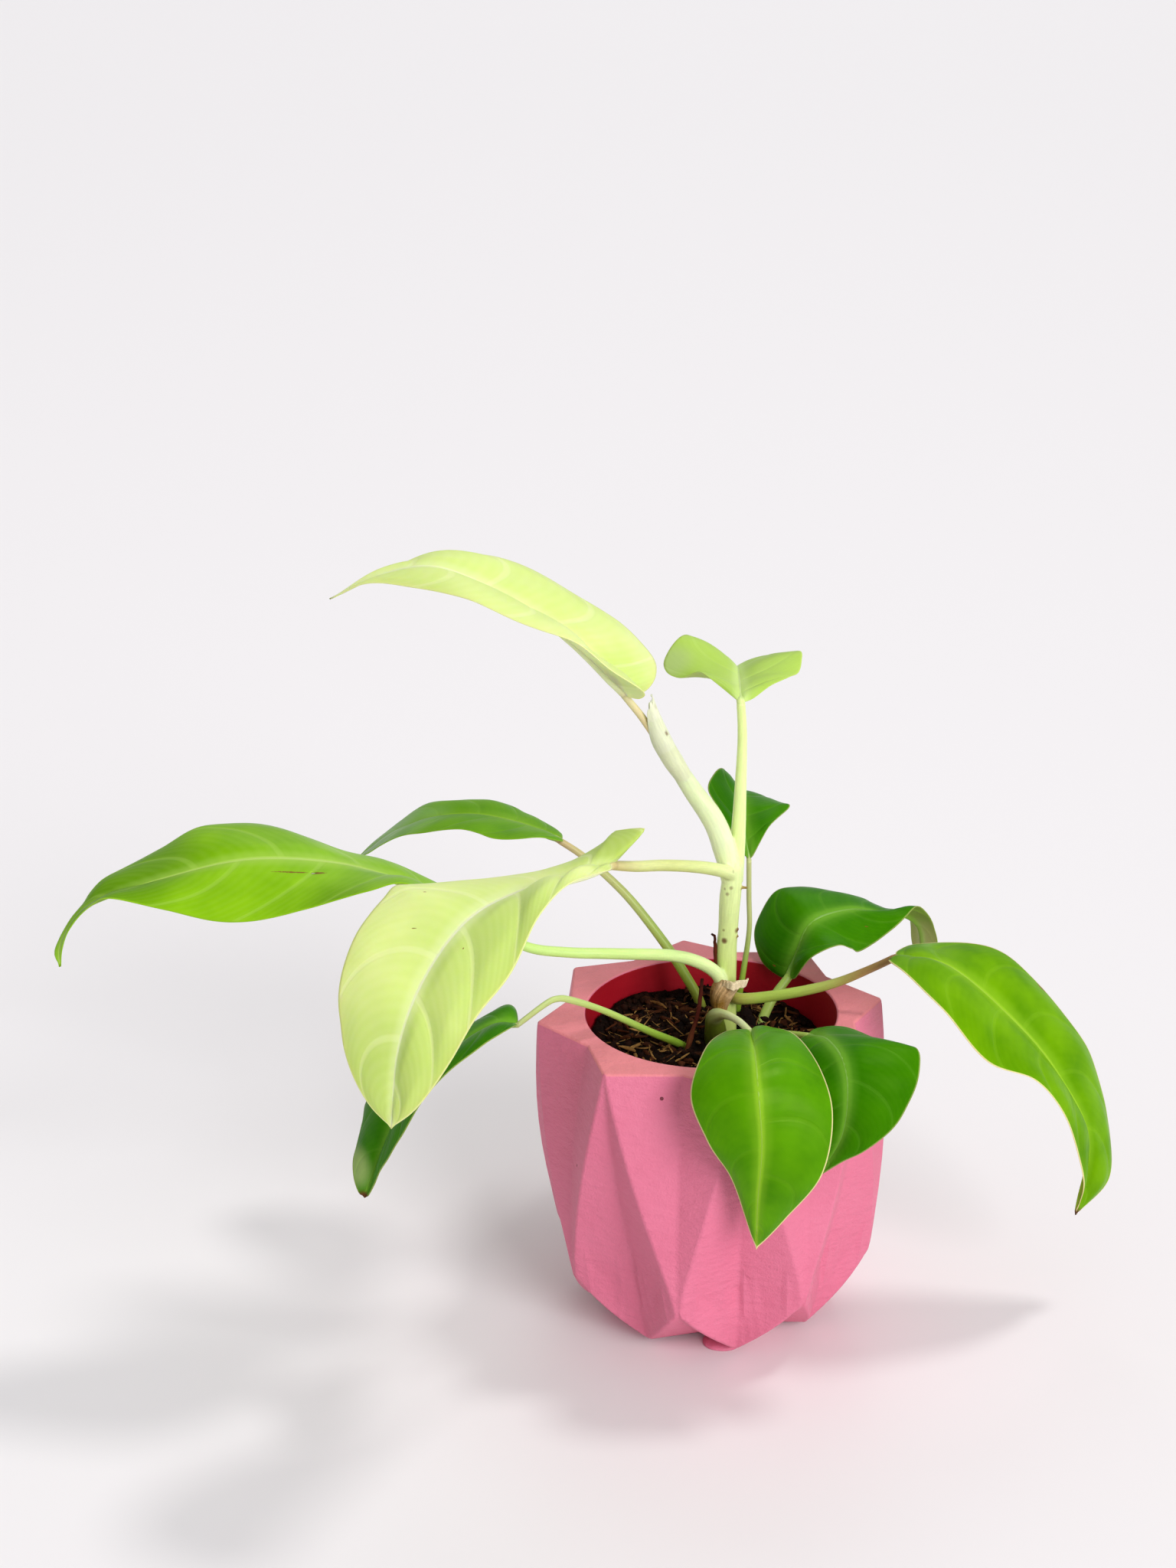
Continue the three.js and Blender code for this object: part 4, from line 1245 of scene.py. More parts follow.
# The leaves, roughly from the top down
LEAVES = [
    Leaf(
        "newest_leaf", LIME, "newest", wave=(0.5, 3),
        rib=[
            (-28, 8, 223), (-36, 10, 232), (-47, 13, 242), (-60, 17, 251), (-87, 24, 263), (-107, 30, 260),
            (-126, 34, 251),
        ],
        left=[
            (-23, 4, 223), (-22, 0, 227), (-32, -6, 236), (-41, -9, 244), (-49, -10, 249), (-63, -6, 254),
            (-78, 2, 258), (-95, 14, 259), (-112, 26, 258),
        ],
        right=[
            (-21, 12, 223), (-17, 18, 227), (-19, 28, 231), (-31, 38, 241), (-48, 41, 252), (-66, 40, 261),
            (-85, 39, 264), (-105, 37, 260),
        ],
        veins=5, quilt=(0.6, 1.5),
        # Darker over the far half, the tip and the foot
        ages=[((-62, 38, 256), 60, 0.35), ((-95, 34, 262), 40, 0.2), ((-26, 4, 226), 30, 0.4)],
    ),
    Leaf(
        "tall_leaf", SOFT, "tall", wave=(0.4, 2),
        rib=[(11, 16, 217), (12, 36, 217), (13, 62, 215), (14, 88, 206), (16, 110, 192)],
        left=[
            (7.1, 22, 218.6), (0.9, 31, 221.6), (-2.6, 38, 221.4), (-7.6, 44, 217.7), (-11.9, 48, 218.2),
            (-13.3, 53, 220.3), (-11.2, 58, 223.4), (-7.8, 62, 226.1), (-4.7, 66, 225.9), (-1.4, 72, 221.8),
            (6.8, 88, 211.1), (13.2, 100, 204.4),
        ],
        right=[
            (15.8, 22, 216.6), (22.2, 31, 218.2), (28.9, 39, 218.8), (32.7, 44, 218.8), (34.3, 50, 221),
            (34.6, 56, 222.3), (31.1, 64, 219.4), (26, 78, 213.2), (21.2, 98, 205.1),
        ],
        even=True,
        # Painted shade: the end of the left lobe is greyer
        ages=[((-12, 52, 221), 12, 0.8)],
    ),
    Leaf(
        "rear_leaf", DEEP, "rear", wave=(0.4, 2),
        rib=[(15, 30, 155), (14, 42, 163), (14, 60, 168), (16, 82, 161), (18, 102, 145)],
        left=[(12, 30, 159), (6, 38, 169), (2, 46, 175), (4, 56, 177), (8, 68, 175), (14, 90, 159)],
        right=[
            (17, 31, 156.8), (22.3, 40, 162.3), (26.3, 46, 164.2), (30.7, 53, 165), (31.2, 56, 165.3),
            (29.5, 62, 163.4), (26, 72, 160.8), (22.4, 82, 157.5), (21, 94, 151),
        ],
        camber=0.02, even=True,
    ),
    Leaf(
        "left_leaf", GREEN, "left", wave=(0.7, 3),
        rib=[
            (-83, -32, 166), (-101, -34, 176), (-122, -35, 183), (-149, -36, 185), (-176, -36, 179),
            (-196, -36, 172.5), (-202.8, -36, 168.6), (-208.3, -35.4, 162), (-211.6, -34.7, 155.5),
            (-212.4, -34, 148.2),
        ],
        left=[
            (-83, -42, 168), (-97, -54, 183.2), (-109, -60, 183.8), (-128, -60, 177.4), (-150, -58, 173),
            (-173, -52, 175), (-191, -45.5, 176), (-197.5, -42, 173.3), (-203, -39.5, 168.4), (-207.7, -38, 162),
            (-210.6, -36, 155.2),
        ],
        right=[
            (-82, -24, 166), (-92, -16, 168), (-109, -10, 174), (-126, -6, 175.4), (-146, -8, 186),
            (-165, -14, 188.8), (-179.2, -17, 181.9), (-185.8, -20.5, 179.4), (-191.3, -24, 177.8),
            (-195.8, -27, 176.7), (-198.6, -28.5, 175.2), (-201.4, -30.5, 172.4), (-203.4, -31.8, 169.3),
            (-208.4, -32.5, 162.8), (-212.3, -33, 156.9), (-213.8, -33.5, 152.5),
        ],
        even=True,
        # Painted shade: darker at the tail and along both margins
        ages=[((-190, -28, 178), 34, 0.7), ((-150, -8, 186), 30, 0.35), ((-118, -62, 180), 16, 0.4)],
        marks=[((-134.4, -42.8, 184), 0.4, 5.5), ((-125.5, -43.2, 183), 0.6, 2.5)],
        holes=[((-127.7, -43.2, 183.3), 0.9)],
    ),
    Leaf(
        "pale_leaf", LIME, "pale", wave=(0.6, 3),
        rib=[
            (-34, -64, 192), (-47, -76, 193), (-63, -90, 194), (-77, -104, 191), (-89, -116, 178),
            (-96, -124, 161), (-99, -126, 137),
        ],
        left=[
            (-35, -74, 194), (-46, -96, 200), (-55, -112, 196), (-63, -122, 184), (-72, -127, 174),
            (-81, -129, 159), (-91, -129, 145),
        ],
        right=[
            (-31.5, -61, 193), (-27.7, -56, 195.3), (-23.4, -51, 198.1), (-23.2, -50.4, 198.5),
            (-25, -49.4, 198.3), (-30.3, -47.5, 197.2), (-32.8, -47.3, 196.6), (-35.6, -48.5, 194),
            (-44.7, -52.5, 190), (-52, -56, 188), (-59.5, -58, 186.3), (-71.9, -64, 187.6), (-87.1, -74, 191.6),
            (-95, -80.5, 194.2), (-98.7, -84, 195.1), (-101.5, -88, 193), (-104.8, -93, 190.3),
            (-109.2, -100, 185.2), (-112.6, -106, 178), (-113.8, -111, 171.6), (-113.2, -115, 164.7),
            (-112.2, -119, 158.6), (-109.5, -122, 151), (-105, -124, 143),
        ],
        veins=6, quilt=(1.8, 0.5), even=True,
        # Painted shade: darker over the lobe by the stalk, the half turned from the light, the tip and the foot
        ages=[
            ((-26, -50, 198), 38, 0.95), ((-60, -116, 184), 44, 0.65), ((-92, -128, 146), 44, 0.7),
            ((-36, -66, 192), 20, 0.6),
        ],
        marks=[
            ((-88.6, -90.8, 194.4), 0.45, 0.25), ((-91.7, -103.6, 190.3), 1, 0.15),
            ((-77.1, -113, 186.4), 0.3, 0.3),
        ],
    ),
    Leaf(
        "rear_left_leaf", LEAFY, "rear_left", wave=(0.7, 3),
        rib=[(-50, 44, 158), (-65, 54, 161), (-84, 64, 161), (-104, 72, 155), (-126, 78, 140)],
        left=[
            (-50.3, 38, 160), (-57.3, 31, 164.3), (-65.3, 29, 165), (-73.6, 31, 164.4), (-79.3, 35, 164.4),
            (-86.2, 40, 164), (-94.9, 46, 162.4), (-102.2, 52, 159.1), (-108.6, 58, 154.8), (-116.3, 65, 149),
            (-122.7, 72, 143),
        ],
        right=[
            (-50.4, 54, 156.6), (-53.8, 62, 156.5), (-58, 68, 156.7), (-63.7, 74, 156.3), (-68.2, 78, 157.6),
            (-75.3, 81, 159.9), (-81.3, 83, 159.9), (-91.2, 84, 159.1), (-98.6, 84, 157.8), (-104.6, 83, 155.3),
            (-110.4, 82, 151.8), (-116, 80, 148.2), (-120.7, 79, 144.7),
        ],
        even=True,
        # Painted sheen: the tail and a patch behind it are paler and greyer
        ages=[((-126, 78, 140), 42, 0.75), ((-104, 66, 154), 20, 0.3)],
    ),
    Leaf(
        "hanging_leaf", DEEP, "hanging", wave=(0.5, 3),
        rib=[(-65, -40, 127), (-73, -46, 130), (-86, -52, 124), (-101, -56, 110), (-116, -54, 73)],
        left=[
            (-66, -50, 131), (-69.4, -57, 132.5), (-74.8, -62, 132), (-81, -66, 128.5), (-87.4, -68.5, 122.9),
            (-94.8, -70, 115.2), (-99.2, -69.5, 108.3), (-102.4, -67, 101), (-106.1, -64, 92.8),
            (-109.9, -61, 85.9), (-112.4, -58, 79.5), (-114.6, -55.6, 74.4),
        ],
        right=[
            (-65, -35, 127.4), (-65.7, -31, 128.6), (-67.5, -30, 129.7), (-70.3, -30, 129.2), (-75.1, -31, 126.8),
            (-84.2, -33, 122.1), (-94, -36, 117.1), (-104.6, -37, 109.5), (-111.8, -38, 104),
            (-115.2, -39.5, 99.8), (-116.4, -42, 94.4), (-118.9, -45, 87), (-120.1, -48, 83.1),
            (-119.7, -51, 78.5), (-118, -53.4, 74.2),
        ],
        even=True,
        scars=[((-116.3, -54.2, 72.8), 3)],
        # Paler near the burnt tip
        ages=[((-118, -50, 82), 9, 0.6)],
    ),
    Leaf(
        "front_leaf", GRASS, "front", wave=(0.5, 3),
        rib=[(11, -34, 120), (11, -54, 123), (11, -69, 117), (12, -73, 99), (11, -71, 78), (11, -66, 58)],
        left=[
            (14, -30, 120), (18, -32, 121), (25, -42, 122), (32, -56, 117), (35, -66, 106), (31, -72, 88),
            (20, -70, 71),
        ],
        right=[
            (8, -32, 120), (2, -36, 121), (-5, -50, 121), (-10, -63, 112), (-5, -68, 99), (2, -68, 87),
            (7, -67, 71),
        ],
    ),
    Leaf(
        "front_right_leaf", DEEP, "front_right", wave=(0.5, 3),
        rib=[(31, -28, 115), (35, -42, 121), (39, -56, 120), (40, -62, 110), (38, -62, 95), (31, -58, 79)],
        left=[
            (34, -24, 115.7), (43, -28, 118), (53.5, -36, 117.5), (62, -46, 119.3), (63.8, -49, 119.4),
            (64.2, -52, 117.6), (62.8, -58, 113.3), (59.8, -61.5, 107.6), (54.8, -64, 100.3), (45.7, -64, 92),
            (38.7, -62, 86.8),
        ],
        right=[(29, -30, 116), (24, -40, 117), (23, -50, 113), (24, -56, 105), (26, -58, 95), (28, -58, 86)],
        even=True,
    ),
    Leaf(
        "curled_leaf", DEEP, "curled", wave=(0.8, 3),
        rib=[
            (29, 24, 113), (32, 26, 122), (37.5, 30, 131), (52, 40, 131), (64, 47, 126), (73, 53, 122.5),
            (79, 58, 116), (81, 60, 107), (82, 60, 97),
        ],
        left=[
            (26, 28, 111), (20, 36, 114), (18, 44, 123), (25, 50, 133.3), (34, 53, 134), (46.7, 57, 131.4),
            (57.4, 60, 127.8), (62, 62, 123.8), (66.3, 63, 120.6), (72.5, 65, 119), (76.5, 67, 117),
            (78, 69, 112), (79, 68, 104),
        ],
        right=[
            (31, 20, 114), (36, 14, 125), (45, 16, 128), (50.4, 22, 123.6), (53.2, 25, 121), (60, 32, 121.6),
            (67.6, 39, 124.3), (72.4, 43, 126.6), (77, 47, 128), (81, 50, 124), (84, 53, 118), (86, 55, 109),
        ],
        even=True,
        marks=[((57.2, 34.7, 127), 0.4, 0.3), ((24.6, 29.4, 114.3), 0.6, 0.8)],
        # Paler over the drooping tip
        ages=[((84, 60, 104), 22, 0.9)],
    ),
    Leaf(
        "right_leaf", MEADOW, "right", wave=(0.6, 3),
        rib=[(62, -4, 132), (80, -8, 130), (102, -12, 111), (117, -14, 92), (129, -14, 67), (127, -10, 35)],
        left=[
            (64, 2, 132), (73, 10, 131), (97, 14, 127), (115, 11, 113), (131, 5, 93), (138, 0, 67), (139, -6, 47),
        ],
        right=[
            (59, -10, 134), (63, -20, 134), (74, -32, 125), (89, -36, 109), (106, -32, 99), (118, -28, 81),
            (127, -19, 54),
        ],
        veins=7, quilt=(0.8, 0.8),
        scars=[((126.9, -9.9, 35.4), 3), ((59, -9, 134), 1.6)],
        marks=[((115.1, 10.3, 113.3), 0.9, 1.6)],
    ),
]


@dataclass
class Pot:
    """The cement pot: eight folds, a flat rim, a turned inside and foot, drain holes and a lip."""

    finish: CementFinish = CementFinish()
    folds: int = 8
    first_corner: float = 6.4
    # Rings of the folds: radius, turn from the fold's corner and height
    corner: Point = (60.0, 0.0, 112.0)
    valley: Point = (49.5, 24.9, 112.0)
    belly: Point = (56.6, 24.0, 26.0)
    base: Point = (39.7, 2.6, 2.0)
    notch: Point = (28.0, 31.0, 2.0)
    # The cavity by radius and height, from the rim down to the floor
    cavity: Sequence[tuple[float, float]] = ((43.0, 112.0), (40.0, 42.0), (37.5, 26.0), (32.0, 16.0), (25.0, 12.0))
    foot_radius: float = 26.0
    round_sides: int = 96
    drain_holes: int = 3
    drain_radius: float = 3.5
    drain_distance: float = 16.0
    drain_sides: int = 24
    # The lip's middle, how it is stretched from a ball, and its gap to the ground
    lip_radius: float = 6.2
    lip_place: tuple[float, float] = (2.2, -31.0)
    lip_stretch: Point = (1.12, 1.0, 0.36)
    lip_gap: float = 0.06
    # How far the panels bulge above the belly and, as a share of that, below it
    swell: float = 3.2
    low_swell: float = 0.6
    panel_cuts: int = 7
    # Creases that are sharper and longer than this are rounded to this radius
    crease_angle: float = 12.0
    crease_length: float = 1.2
    edge: float = 1.9

    def fold_walls(self, cast: bmesh.types.BMesh) -> tuple[list, list]:
        """Makes the folded outside.

        Args:
            cast: The mesh to add it to.

        Returns:
            The edges round its top and its bottom.
        """
        spots: dict[str, list] = {}
        for name, (radius, turn, height) in (
            ("corner", self.corner), ("valley", self.valley), ("belly", self.belly),
            ("base", self.base), ("notch", self.notch),
        ):
            angles = [math.radians(self.first_corner + turn + 360 / self.folds * k) for k in range(self.folds)]
            spots[name] = [
                cast.verts.new((radius * math.cos(angle), radius * math.sin(angle), height)) for angle in angles
            ]
        corner, valley, belly, base, notch = spots.values()
        for k in range(self.folds):
            after = (k + 1) % self.folds
            for panel in (
                (corner[k], belly[k], valley[k]),
                (valley[k], belly[k], corner[after]),
                (corner[after], belly[k], base[after]),
                (corner[after], base[after], belly[after]),
                (belly[k], base[k], notch[k]),
                (belly[k], notch[k], base[after]),
            ):
                cast.faces.new(panel)
        top, bottom = set(corner + valley), set(base + notch)
        long = [edge for edge in cast.edges if not (set(edge.verts) <= top or set(edge.verts) <= bottom)]
        bmesh.ops.subdivide_edges(cast, edges=long, cuts=self.panel_cuts, use_grid_fill=True)
        rim, middle, ground = self.corner[2], self.belly[2], self.base[2]
        for part in cast.verts:
            height = part.co.z
            if height > middle:
                swell = self.swell * math.sin(math.pi * (rim - height) / (rim - middle))
            else:
                swell = self.low_swell * self.swell * math.sin(math.pi * (middle - height) / (middle - ground))
            part.co.xy += part.co.xy.normalized() * swell
        open_edges = [edge for edge in cast.edges if edge.is_boundary]
        return (
            [edge for edge in open_edges if edge.verts[0].co.z > middle],
            [edge for edge in open_edges if edge.verts[0].co.z < middle],
        )

    @staticmethod
    def add_ring(
        cast: bmesh.types.BMesh, radius: float, height: float, count: int, spot: Vector = Vector((0, 0))
    ) -> list[bmesh.types.BMEdge]:
        """Adds a level circle of edges.

        Args:
            cast: The mesh to add it to.
            radius: Its radius.
            height: Its height.
            count: How many edges it has.
            spot: Its middle, seen from above.

        Returns:
            Its edges.
        """
        place = Matrix.Translation((spot.x, spot.y, height))
        made = bmesh.ops.create_circle(cast, cap_ends=False, segments=count, radius=radius, matrix=place)
        return list(dict.fromkeys(edge for corner in made["verts"] for edge in corner.link_edges))

    @staticmethod
    def extend_ring(
        cast: bmesh.types.BMesh, ring: list[bmesh.types.BMEdge], share: float, rise: float
    ) -> list[bmesh.types.BMEdge]:
        """Draws a wall out of a circle of edges.

        Args:
            cast: The mesh.
            ring: The circle's edges.
            share: The new circle's radius as a share of the old one's.
            rise: How much higher the new circle lies.

        Returns:
            The new circle's edges.
        """
        made = bmesh.ops.extrude_edge_only(cast, edges=ring)["geom"]
        moved = [part for part in made if isinstance(part, bmesh.types.BMVert)]
        if share != 1:
            bmesh.ops.scale(cast, vec=(share, share, 1), verts=moved)
        bmesh.ops.translate(cast, vec=(0, 0, rise), verts=moved)
        return [part for part in made if isinstance(part, bmesh.types.BMEdge)]

    def turn_inside(self, cast: bmesh.types.BMesh, top: list[bmesh.types.BMEdge]) -> list[bmesh.types.BMEdge]:
        """Makes the rim and the cavity's wall.

        Args:
            cast: The mesh to add them to.
            top: The edges round the top of the folds.

        Returns:
            The edges round the cavity's floor.
        """
        radius, height = self.cavity[0]
        ring = self.add_ring(cast, radius, height, self.round_sides)
        bmesh.ops.triangle_fill(cast, use_beauty=True, edges=top + ring)
        for next_radius, next_height in self.cavity[1:]:
            ring = self.extend_ring(cast, ring, next_radius / radius, next_height - height)
            radius, height = next_radius, next_height
        return ring

    def turn_foot(self, cast: bmesh.types.BMesh, bottom: list[bmesh.types.BMEdge]) -> list[bmesh.types.BMEdge]:
        """Makes the low, round foot.

        Args:
            cast: The mesh to add it to.
            bottom: The edges round the bottom of the folds.

        Returns:
            The edges round its sole.
        """
        foot = self.add_ring(cast, self.foot_radius, self.base[2], self.round_sides)
        bmesh.ops.triangle_fill(cast, use_beauty=True, edges=bottom + foot)
        return self.extend_ring(cast, foot, 1, -self.base[2])

    def bore_drains(
        self, cast: bmesh.types.BMesh, ring: list[bmesh.types.BMEdge], sole: list[bmesh.types.BMEdge]
    ) -> None:
        """Closes the floor and the sole round the drain holes, and walls the holes.

        Args:
            cast: The mesh to work on.
            ring: The edges round the cavity's floor.
            sole: The edges round the foot's sole.
        """
        drains = []
        for k in range(self.drain_holes):
            angle = math.radians(90 + 360 / self.drain_holes * k)
            spot = self.drain_distance * Vector((math.cos(angle), math.sin(angle)))
            levels = (self.cavity[-1][1], 0.0)
            drains.append(
                [self.add_ring(cast, self.drain_radius, level, self.drain_sides, spot) for level in levels]
            )
        for rim, number in ((ring, 0), (sole, 1)):
            holes = [edge for pair in drains for edge in pair[number]]
            bmesh.ops.triangle_fill(cast, use_beauty=True, edges=rim + holes)
        for pair in drains:
            bmesh.ops.bridge_loops(cast, edges=pair[0] + pair[1])

    def round_creases(self, cast: bmesh.types.BMesh) -> None:
        """Rounds the creases and the rim.

        Args:
            cast: The mesh to work on.
        """
        sharp = [
            edge for edge in cast.edges
            if edge.calc_face_angle(0) > math.radians(self.crease_angle)
            and edge.calc_length() > self.crease_length
            and max(math.hypot(*corner.co[:2]) for corner in edge.verts) > self.foot_radius + 1
        ]
        bmesh.ops.bevel(
            cast, geom=sharp, offset=self.edge, segments=4, profile=0.5, affect="EDGES", material=-1,
            clamp_overlap=True,
        )

    def add_lip(self, cast: bmesh.types.BMesh) -> None:
        """Adds the flat blob of cement that ran out under the front corner.

        Args:
            cast: The mesh to add it to.
        """
        place = Matrix.Translation((*self.lip_place, 0)) @ Matrix.Diagonal((*self.lip_stretch, 1))
        blob = bmesh.ops.create_uvsphere(cast, u_segments=40, v_segments=20, radius=self.lip_radius, matrix=place)
        for corner in blob["verts"]:
            corner.co.z = max(corner.co.z, self.lip_gap)
            corner.co.xy += 0.5 * noise.noise_vector(corner.co * 0.25).xy

    def mark_zones(self, cast: bmesh.types.BMesh) -> None:
        """Marks the faces of the rim, which has a colour of its own, and of the inside, which gets painted shade.

        Args:
            cast: The mesh to work on.
        """
        zone = cast.faces.layers.float_vector.new("zone")
        radii, heights = zip(*self.cavity[::-1])
        for face in cast.faces:
            spot = face.calc_center_median()
            wall = float(np.interp(spot.z, heights, radii))
            smooth_shaded_inside = math.hypot(spot.x, spot.y) < wall + 0.7 and heights[0] - 0.5 < spot.z < self.corner[2] - 0.7
            upper = face.normal.z > 0.6 and spot.z > self.corner[2] - 1
            face[zone] = (float(upper), float(smooth_shaded_inside), 0)

    def build(self) -> bpy.types.Object:
        """Makes the pot.

        Returns:
            The pot.
        """
        cast = bmesh.new()
        top, bottom = self.fold_walls(cast)
        ring = self.turn_inside(cast, top)
        sole = self.turn_foot(cast, bottom)
        self.bore_drains(cast, ring, sole)
        bmesh.ops.recalc_face_normals(cast, faces=cast.faces)
        self.round_creases(cast)
        self.add_lip(cast)
        self.mark_zones(cast)
        settle_faces(cast)
        piece = finish_piece("cement_pot", cast, [self.finish.dress()], ["pot"])
        # Level faces stay flat, so that no crease shades them
        for panel in piece.data.polygons:
            panel.use_smooth = abs(panel.normal.z) < 0.999
        piece.modifiers.new("even_shading", "WEIGHTED_NORMAL")
        return piece


@dataclass
class SoilBed:
    """Coarse potting mix: a lumpy bed with bark, coir and fibres strewn over it."""

    height: float = 99.0
    reach: float = 40.6
    seed: int = 5
    # The facets of the bed's skin, and how high the crumbs on it are
    grain: float = 1.3
    lumps: float = 1.5
    # Where the stalks stand and how thick they are
    stems: Sequence[tuple[float, float, float]] = ()

    def level(self, x: float, y: float) -> float:
        """The height of the bed at a place, which falls to the right and rises to the rear, with slow waves."""
        waves = math.sin(0.21 * x + 1) * math.cos(0.19 * y) + 0.6 * math.sin(0.37 * x - 0.31 * y + 2)
        return self.height - 0.055 * x + 0.06 * y + 0.9 * waves

    def build_bed(self, solid: bpy.types.Object) -> bpy.types.Object:
        """Makes the bed from a copy of its solid, with crumbs raised on its top.

        Args:
            solid: The soil's solid.

        Returns:
            The bed.
        """
        body = bmesh.new()
        body.from_mesh(solid.data)
        bmesh.ops.scale(body, vec=(1 / MM,) * 3, verts=body.verts)
        bmesh.ops.remove_doubles(body, verts=body.verts, dist=0.001)
        finish = MixFinish("potting_mix", "#080302", "#1c0c06", scale=220.0)
        piece = finish_piece("soil_bed", body, [finish.dress()], ["soil"])
        melt(piece, self.grain, 1)
        for corner in piece.data.vertices:
            x, y, z = corner.co / MM
            # Only the top is lumpy, and it is level where it meets the wall
            top = ramp(z, self.height - 9, self.height - 5)
            top *= 1 - ramp(math.hypot(x, y), self.reach - 1.5, self.reach)
            lump = noise.noise(Vector((x, y, z)) * 0.45) + 0.6 * noise.noise(Vector((x, y, z)) * 1.1)
            corner.co.z += top * self.lumps * lump * MM
        return piece

    def is_clear(self, spots: Sequence[Vector], room: float) -> bool:
        """Tells whether spots are inside the pot and off the stalks.

        Args:
            spots: The spots, seen from above.
            room: How much room each needs.

        Returns:
            Whether all of them are clear.
        """
        if any(spot.length + room >= self.reach for spot in spots):
            return False
        return all((spot - Vector(stem[:2])).length > stem[2] + room for spot in spots for stem in self.stems)

    def strew(
        self,
        name: str,
        finish: MixFinish,
        count: int,
        length: tuple[float, float],
        width: tuple[float, float],
        depth: tuple[float, float],
    ) -> bpy.types.Object:
        """Strews one kind of chip over the bed.

        Args:
            name: The piece's name.
            finish: The chips' finish.
            count: How many chips there are.
            length: The least and the most length.
            width: The least and the most width.
            depth: The least and the most thickness.

        Returns:
            The chips as one piece.
        """
        draw = random.Random(f"{self.seed} {name}")
        body = bmesh.new()
        for _ in range(count):
            size = Vector([draw.uniform(*span) for span in (length, width, depth)])
            far = (self.reach - 0.45 * size.x) * math.sqrt(draw.random())
            turn = draw.uniform(0, 2 * math.pi)
            middle = far * Vector((math.cos(turn), math.sin(turn)))
            heading = draw.uniform(0, math.pi)
            # Long chips lie flatter
            tilt = draw.gauss(0, 0.2) if size.x < 7 else draw.gauss(0, 0.1)
            along = Vector((math.cos(heading), math.sin(heading)))
            spots = [middle + along * size.x * share for share in (-0.5, -0.25, 0, 0.25, 0.5)]
            if not self.is_clear(spots, size.y / 2):
                continue
            chip = bmesh.ops.create_uvsphere(body, u_segments=5, v_segments=6, radius=0.5)["verts"]
            # Its width at both ends and in the middle, and how far it bows sideways
            ends = [draw.uniform(0.3, 0.9), draw.uniform(0.9, 1.2), draw.uniform(0.3, 0.9)]
            bow = draw.uniform(-0.12, 0.12) * size.x
            for corner in chip:
                share = corner.co.z + 0.5
                pinch = float(np.interp(share, (0, 0.5, 1), ends)) * (1 + 0.8 * abs(2 * share - 1) ** 2)
                y = corner.co.x * pinch * draw.uniform(0.8, 1.2)
                z = corner.co.y * pinch * draw.uniform(0.7, 1.3)
                y = y * size.y + bow * (4 * share * (1 - share) - 0.5)
                corner.co = Vector(((share - 0.5) * size.x, y, z * size.z))
            lift = Matrix.Translation((*middle, self.level(*middle) + draw.uniform(0.1, 1.4)))
            turned = Matrix.Rotation(heading, 4, "Z") @ Matrix.Rotation(tilt, 4, "Y")
            turned = turned @ Matrix.Rotation(draw.gauss(0, 0.6), 4, "X")
            bmesh.ops.transform(body, matrix=lift @ turned, verts=chip)
        settle_faces(body)
        return finish_piece(name, body, [finish.dress()])

    def crumble(self, name: str, finish: MixFinish, count: int) -> bpy.types.Object:
        """Strews crumbs of soil over the bed.

        Args:
            name: The piece's name.
            finish: The crumbs' finish.
            count: How many crumbs there are.

        Returns:
            The crumbs as one piece.
        """
        draw = random.Random(f"{self.seed} {name}")
        body = bmesh.new()
        for _ in range(count):
            radius = 0.4 + 1.3 * draw.random() ** 2.5
            turn = draw.uniform(0, 2 * math.pi)
            middle = (self.reach - radius) * math.sqrt(draw.random()) * Vector((math.cos(turn), math.sin(turn)))
            if not self.is_clear([middle], radius):
                continue
            crumb = bmesh.ops.create_icosphere(body, subdivisions=1, radius=radius)["verts"]
            for corner in crumb:
                corner.co *= draw.uniform(0.7, 1.2)
            lift = Matrix.Translation((*middle, self.level(*middle) + draw.uniform(0.0, 0.8)))
            bmesh.ops.transform(body, matrix=lift @ Matrix.Rotation(turn, 4, "Z"), verts=crumb)
        return finish_piece(name, body, [finish.dress()])


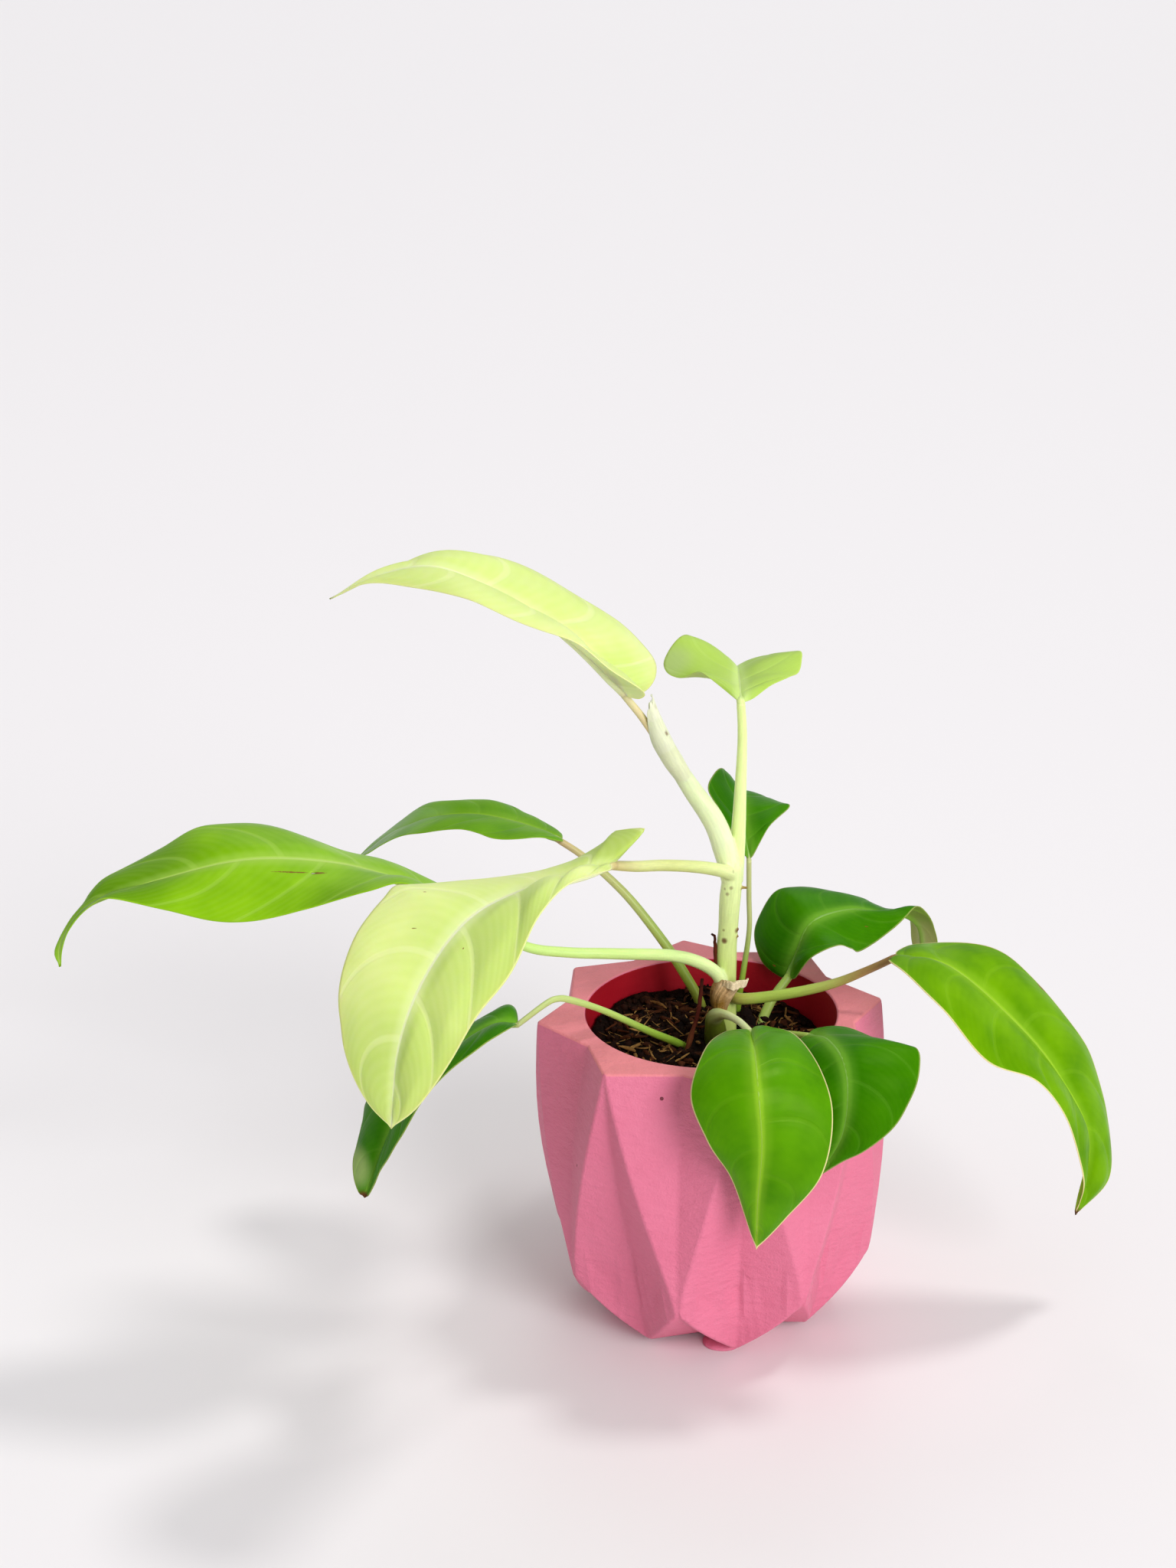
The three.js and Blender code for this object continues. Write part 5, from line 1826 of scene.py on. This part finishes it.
@dataclass
class Studio:
    """A plain pale floor, soft light and the camera."""

    # The camera's place in millimetres, and its turns in degrees
    camera_place: Point = (-40.5, -722.0, 459.2)
    pitch: float = 20.09
    roll: float = 1.12
    focal_pixels: float = 3042.0
    picture_height: float = 2048.0
    sensor: float = 36.0
    floor_half: float = 40.0
    floor_tint: str = "#efebec"
    room_tint: str = "#f4f6f8"
    room_strength: float = 0.54

    def build_floor(self) -> None:
        """Lays the matt, pale floor."""
        body = bmesh.new()
        bmesh.ops.create_grid(body, x_segments=1, y_segments=1, size=self.floor_half)
        data = bpy.data.meshes.new("floor")
        body.to_mesh(data)
        body.free()
        floor = bpy.data.objects.new("floor", data)
        bpy.context.scene.collection.objects.link(floor)
        material, shader = start_material("pale_floor", 0.5)
        shader.inputs["Base Color"].default_value = linear(self.floor_tint)
        data.materials.append(material)

    def build_lights(self) -> None:
        """Hangs the lights, and fills the room with pale light."""
        world = bpy.data.worlds.new("room")
        bpy.context.scene.world = world
        world.use_nodes = True
        background = world.node_tree.nodes["Background"]
        background.inputs["Color"].default_value = linear(self.room_tint)
        background.inputs["Strength"].default_value = self.room_strength
        # The way to each light, its strength, its width in degrees and its tint
        for name, towards, strength, spread, tint in (
            ("ceiling", (0.42, 0.12, 1.0), 0.8, 9.0, "#fffefc"),
            ("window", (0.5, -0.75, 0.45), 2.2, 32.0, "#fdfdff"),
            ("rear", (0.1, 0.9, 0.9), 0.25, 30.0, "#ffffff"),
        ):
            lamp = bpy.data.lights.new(name, "SUN")
            lamp.energy = strength
            lamp.color = linear(tint)[:3]
            lamp.angle = math.radians(spread)
            holder = bpy.data.objects.new(name, lamp)
            holder.rotation_mode = "QUATERNION"
            holder.rotation_quaternion = Vector(towards).to_track_quat("Z", "Y")
            bpy.context.scene.collection.objects.link(holder)
        view = bpy.context.scene.view_settings
        view.view_transform = "Standard"
        view.look = "None"

    def build_camera(self) -> None:
        """Sets the camera at the photograph's place and angle."""
        data = bpy.data.cameras.new("camera")
        data.sensor_width = self.sensor
        data.lens = self.focal_pixels / self.picture_height * self.sensor
        data.clip_start = 0.01
        camera = bpy.data.objects.new("camera", data)
        bpy.context.scene.collection.objects.link(camera)
        pitch, roll = math.radians(self.pitch), math.radians(self.roll)
        forward = Vector((0, math.cos(pitch), -math.sin(pitch)))
        level, upright = Vector((1, 0, 0)), Vector((0, math.sin(pitch), math.cos(pitch)))
        right = math.cos(roll) * level - math.sin(roll) * upright
        top = math.sin(roll) * level + math.cos(roll) * upright
        turn = Matrix((right, top, -forward)).transposed()
        camera.matrix_world = Matrix.Translation(Vector(self.camera_place) * MM) @ turn.to_4x4()
        bpy.context.scene.camera = camera


def main() -> None:
    """Builds the pieces in order."""
    logging.basicConfig(level=logging.INFO, format="%(message)s")
    # The waver of the lip and of the withered stalks would otherwise start from the clock
    noise.seed_set(NOISE_SEED)
    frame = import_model()
    studio = Studio()
    studio.build_camera()
    studio.build_floor()
    studio.build_lights()

    pieces = [Pot().build()]
    stems = []
    for name in ROOTED:
        x, y, _ = SmoothCurve(STALKS[name].points).at(FOOT_SHARE)
        stems.append((x, y, STALKS[name].radii[0]))
    bed = SoilBed(stems=stems)
    pieces.append(bed.build_bed(frame["nodes"]["soil"]))
    pieces.append(bed.crumble("soil_crumbs", MixFinish("crumbs", "#0a0402", "#2c130a", scale=120.0), 1300))
    # Each kind's tints, count, and span of length, width and thickness
    for name, dark, light, count, *sizes in (
        ("bark_chips", "#200c06", "#5a2e16", 200, (3, 9), (1.2, 3.0), (0.6, 1.2)),
        ("coir_chips", "#5e3a1a", "#b88c50", 100, (4, 10), (0.8, 1.9), (0.4, 0.9)),
        ("coir_fibres", "#4c2c14", "#ae8448", 110, (6, 15), (0.3, 0.6), (0.25, 0.45)),
    ):
        pieces.append(bed.strew(name, MixFinish(name, dark, light, scale=90.0), count, *sizes))

    joined = [STALKS[name] for name in JOINED]
    pieces.append(Shoots("main_stem_skin", "main_stem", "stem", joined, STEM_MARKS, grain=0.4).build())
    pieces.append(TornSheath().build())
    for leaf in LEAVES:
        if leaf.stalk not in JOINED:
            slot = "tan_petiole" if leaf.stalk == "newest" else "petiole"
            node = f"{leaf.stalk}_petiole"
            pieces.append(Shoots(f"{node}_skin", node, slot, [STALKS[leaf.stalk]]).build())
        pieces += [leaf.build(), leaf.build_rib()]
    pieces.append(PaperSheath().build())
    for name in ("withered_stalk", "withered_strip"):
        shoot = Shoots(f"{name}_skin", name, "withered", [STALKS[name]], finish=DRY_SKIN, knots=0.35)
        pieces.append(shoot.build())
    for piece in pieces:
        LOG.info("%s: %d faces", piece.name, len(piece.data.polygons))


if __name__ == "__main__":
    main()
